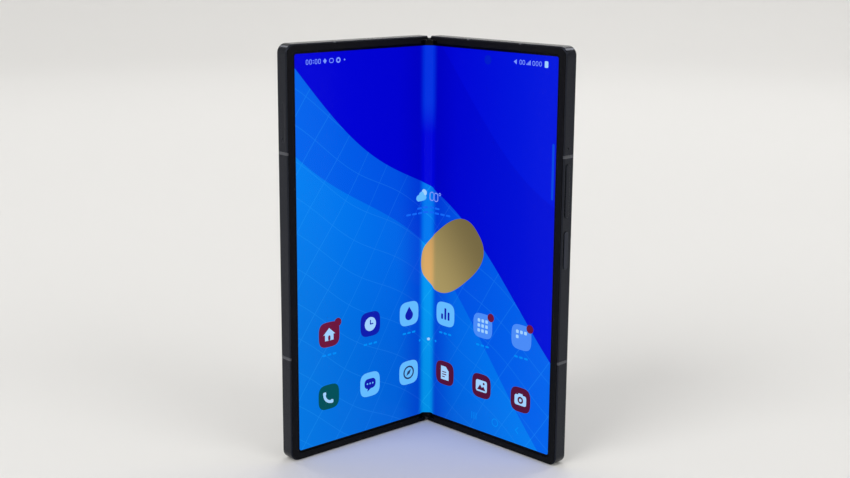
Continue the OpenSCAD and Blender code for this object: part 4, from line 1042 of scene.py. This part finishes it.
class PHONE_OT_stage(bpy.types.Operator):
    """Adds the pale floor with its curved backdrop, the soft lights and the camera"""
    bl_idname = "phone.stage"
    bl_label = "Studio"

    eye: bpy.props.FloatVectorProperty(
        name="Eye", description="Place of the camera", default=(0.0122, -0.4748, 0.1912),
        subtype="TRANSLATION", unit="LENGTH")
    pan: rotation("Pan", "Turn of the camera to the left", 1.550)
    tilt: rotation("Tilt", "Turn of the camera below level", 11.748)
    roll: rotation("Roll", "Roll of the camera", 0.406)
    focal: bpy.props.FloatProperty(
        name="Focal length", description="Focal length in millimetres, on a 36 mm wide sensor",
        default=55.270588)
    shift: bpy.props.FloatProperty(
        name="Shift", description="Vertical shift, in image widths", default=-0.04)
    air: bpy.props.FloatProperty(
        name="Air", description="Strength of the even light from all sides", default=0.38, min=0)

    def execute(self, context):
        scene = context.scene
        scene.view_settings.view_transform = "Standard"
        self.add_floor()
        for name, place, size, power in LAMPS:
            self.add_lamp(name, Vector(place), size, power)
        world = bpy.data.worlds.new("studio_air")
        world.use_nodes = True
        background = world.node_tree.nodes["Background"]
        background.inputs["Color"].default_value = (0.80, 0.80, 0.80, 1)
        background.inputs["Strength"].default_value = self.air
        scene.world = world
        self.add_camera(scene)
        return {"FINISHED"}

    def add_floor(self):
        """A round floor that curves up into a low wall on every side."""
        bend, flat, wall_top, sides, steps = 0.9, 1.5, 1.5, 96, 16
        angles = [i * math.pi / (2 * steps) for i in range(steps + 1)]
        profile = [(flat + bend * math.sin(a), bend - bend * math.cos(a)) for a in angles]
        profile.append((flat + bend, wall_top))

        def draw(bm):
            spokes = [(math.cos(a), math.sin(a))
                      for a in (2 * math.pi * k / sides for k in range(sides))]
            rows = [[bm.verts.new((r * c, r * n, z)) for c, n in spokes] for r, z in profile]
            bm.faces.new(rows[0])
            for low, high in zip(rows, rows[1:]):
                for k in range(sides):
                    after = (k + 1) % sides
                    bm.faces.new((low[k], high[k], high[after], low[after]))
            bmesh.ops.recalc_face_normals(bm, faces=bm.faces)

        n = Nodes("studio_paper")
        n.set(Base_Color=n.mix(n.noise(3, 2), *shades(colours().floor, 0.01)),
              Roughness=0.9, Specular_IOR_Level=0.2)
        floor = new_object("studio_floor", draw, [n.material], None)
        smooth(floor, 40)

    def add_lamp(self, name, place, size, power):
        lamp = bpy.data.lights.new(name, "AREA")
        lamp.shape, lamp.size, lamp.energy = "DISK", size, power
        holder = bpy.data.objects.new(name, lamp)
        turn = (place - LAMP_TARGET).to_track_quat("Z", "Y").to_matrix().to_4x4()
        holder.matrix_world = Matrix.Translation(place) @ turn
        bpy.context.scene.collection.objects.link(holder)

    def add_camera(self, scene):
        data = bpy.data.cameras.new("camera")
        data.sensor_width, data.lens, data.shift_y = 36, self.focal, self.shift
        data.clip_start, data.clip_end = 0.01, 20
        eye = bpy.data.objects.new("camera", data)
        eye.matrix_world = (Matrix.Translation(self.eye) @ Matrix.Rotation(self.pan, 4, "Z")
                            @ Matrix.Rotation(math.pi / 2 - self.tilt, 4, "X")
                            @ Matrix.Rotation(self.roll, 4, "Z"))
        scene.collection.objects.link(eye)
        scene.camera = eye


class PHONE_PT_panel(bpy.types.Panel):
    """Lists the phone's steps and its sizes and colours"""
    bl_idname = "PHONE_PT_panel"
    bl_label = "Foldable Phone"
    bl_space_type = "VIEW_3D"
    bl_region_type = "UI"
    bl_category = "Phone"

    def draw(self, context):
        for step in STEPS:
            self.layout.operator(step.bl_idname)
        for group in (context.scene.phone_sizes, context.scene.phone_colours):
            box = self.layout.box()
            for name in group.bl_rna.properties.keys():
                if name not in {"rna_type", "name"}:
                    box.prop(group, name)


STEPS = (PHONE_OT_finishes, PHONE_OT_image, PHONE_OT_symbols, PHONE_OT_fold, PHONE_OT_card,
         PHONE_OT_ribbon, PHONE_OT_optics, PHONE_OT_stage)
CLASSES = (PhoneSizes, PhoneColours, *STEPS, PHONE_PT_panel)


def register():
    for cls in CLASSES:
        bpy.utils.register_class(cls)
    bpy.types.Scene.phone_sizes = bpy.props.PointerProperty(type=PhoneSizes)
    bpy.types.Scene.phone_colours = bpy.props.PointerProperty(type=PhoneColours)


def unregister():
    del bpy.types.Scene.phone_colours
    del bpy.types.Scene.phone_sizes
    for cls in reversed(CLASSES):
        bpy.utils.unregister_class(cls)


def main():
    register()
    bpy.ops.phone.finishes()
    bpy.ops.phone.image()
    bpy.ops.phone.symbols()
    bpy.ops.phone.fold()
    bpy.ops.phone.card()
    bpy.ops.phone.ribbon()
    bpy.ops.phone.optics()
    bpy.ops.phone.stage()


if __name__ == "__main__":
    main()
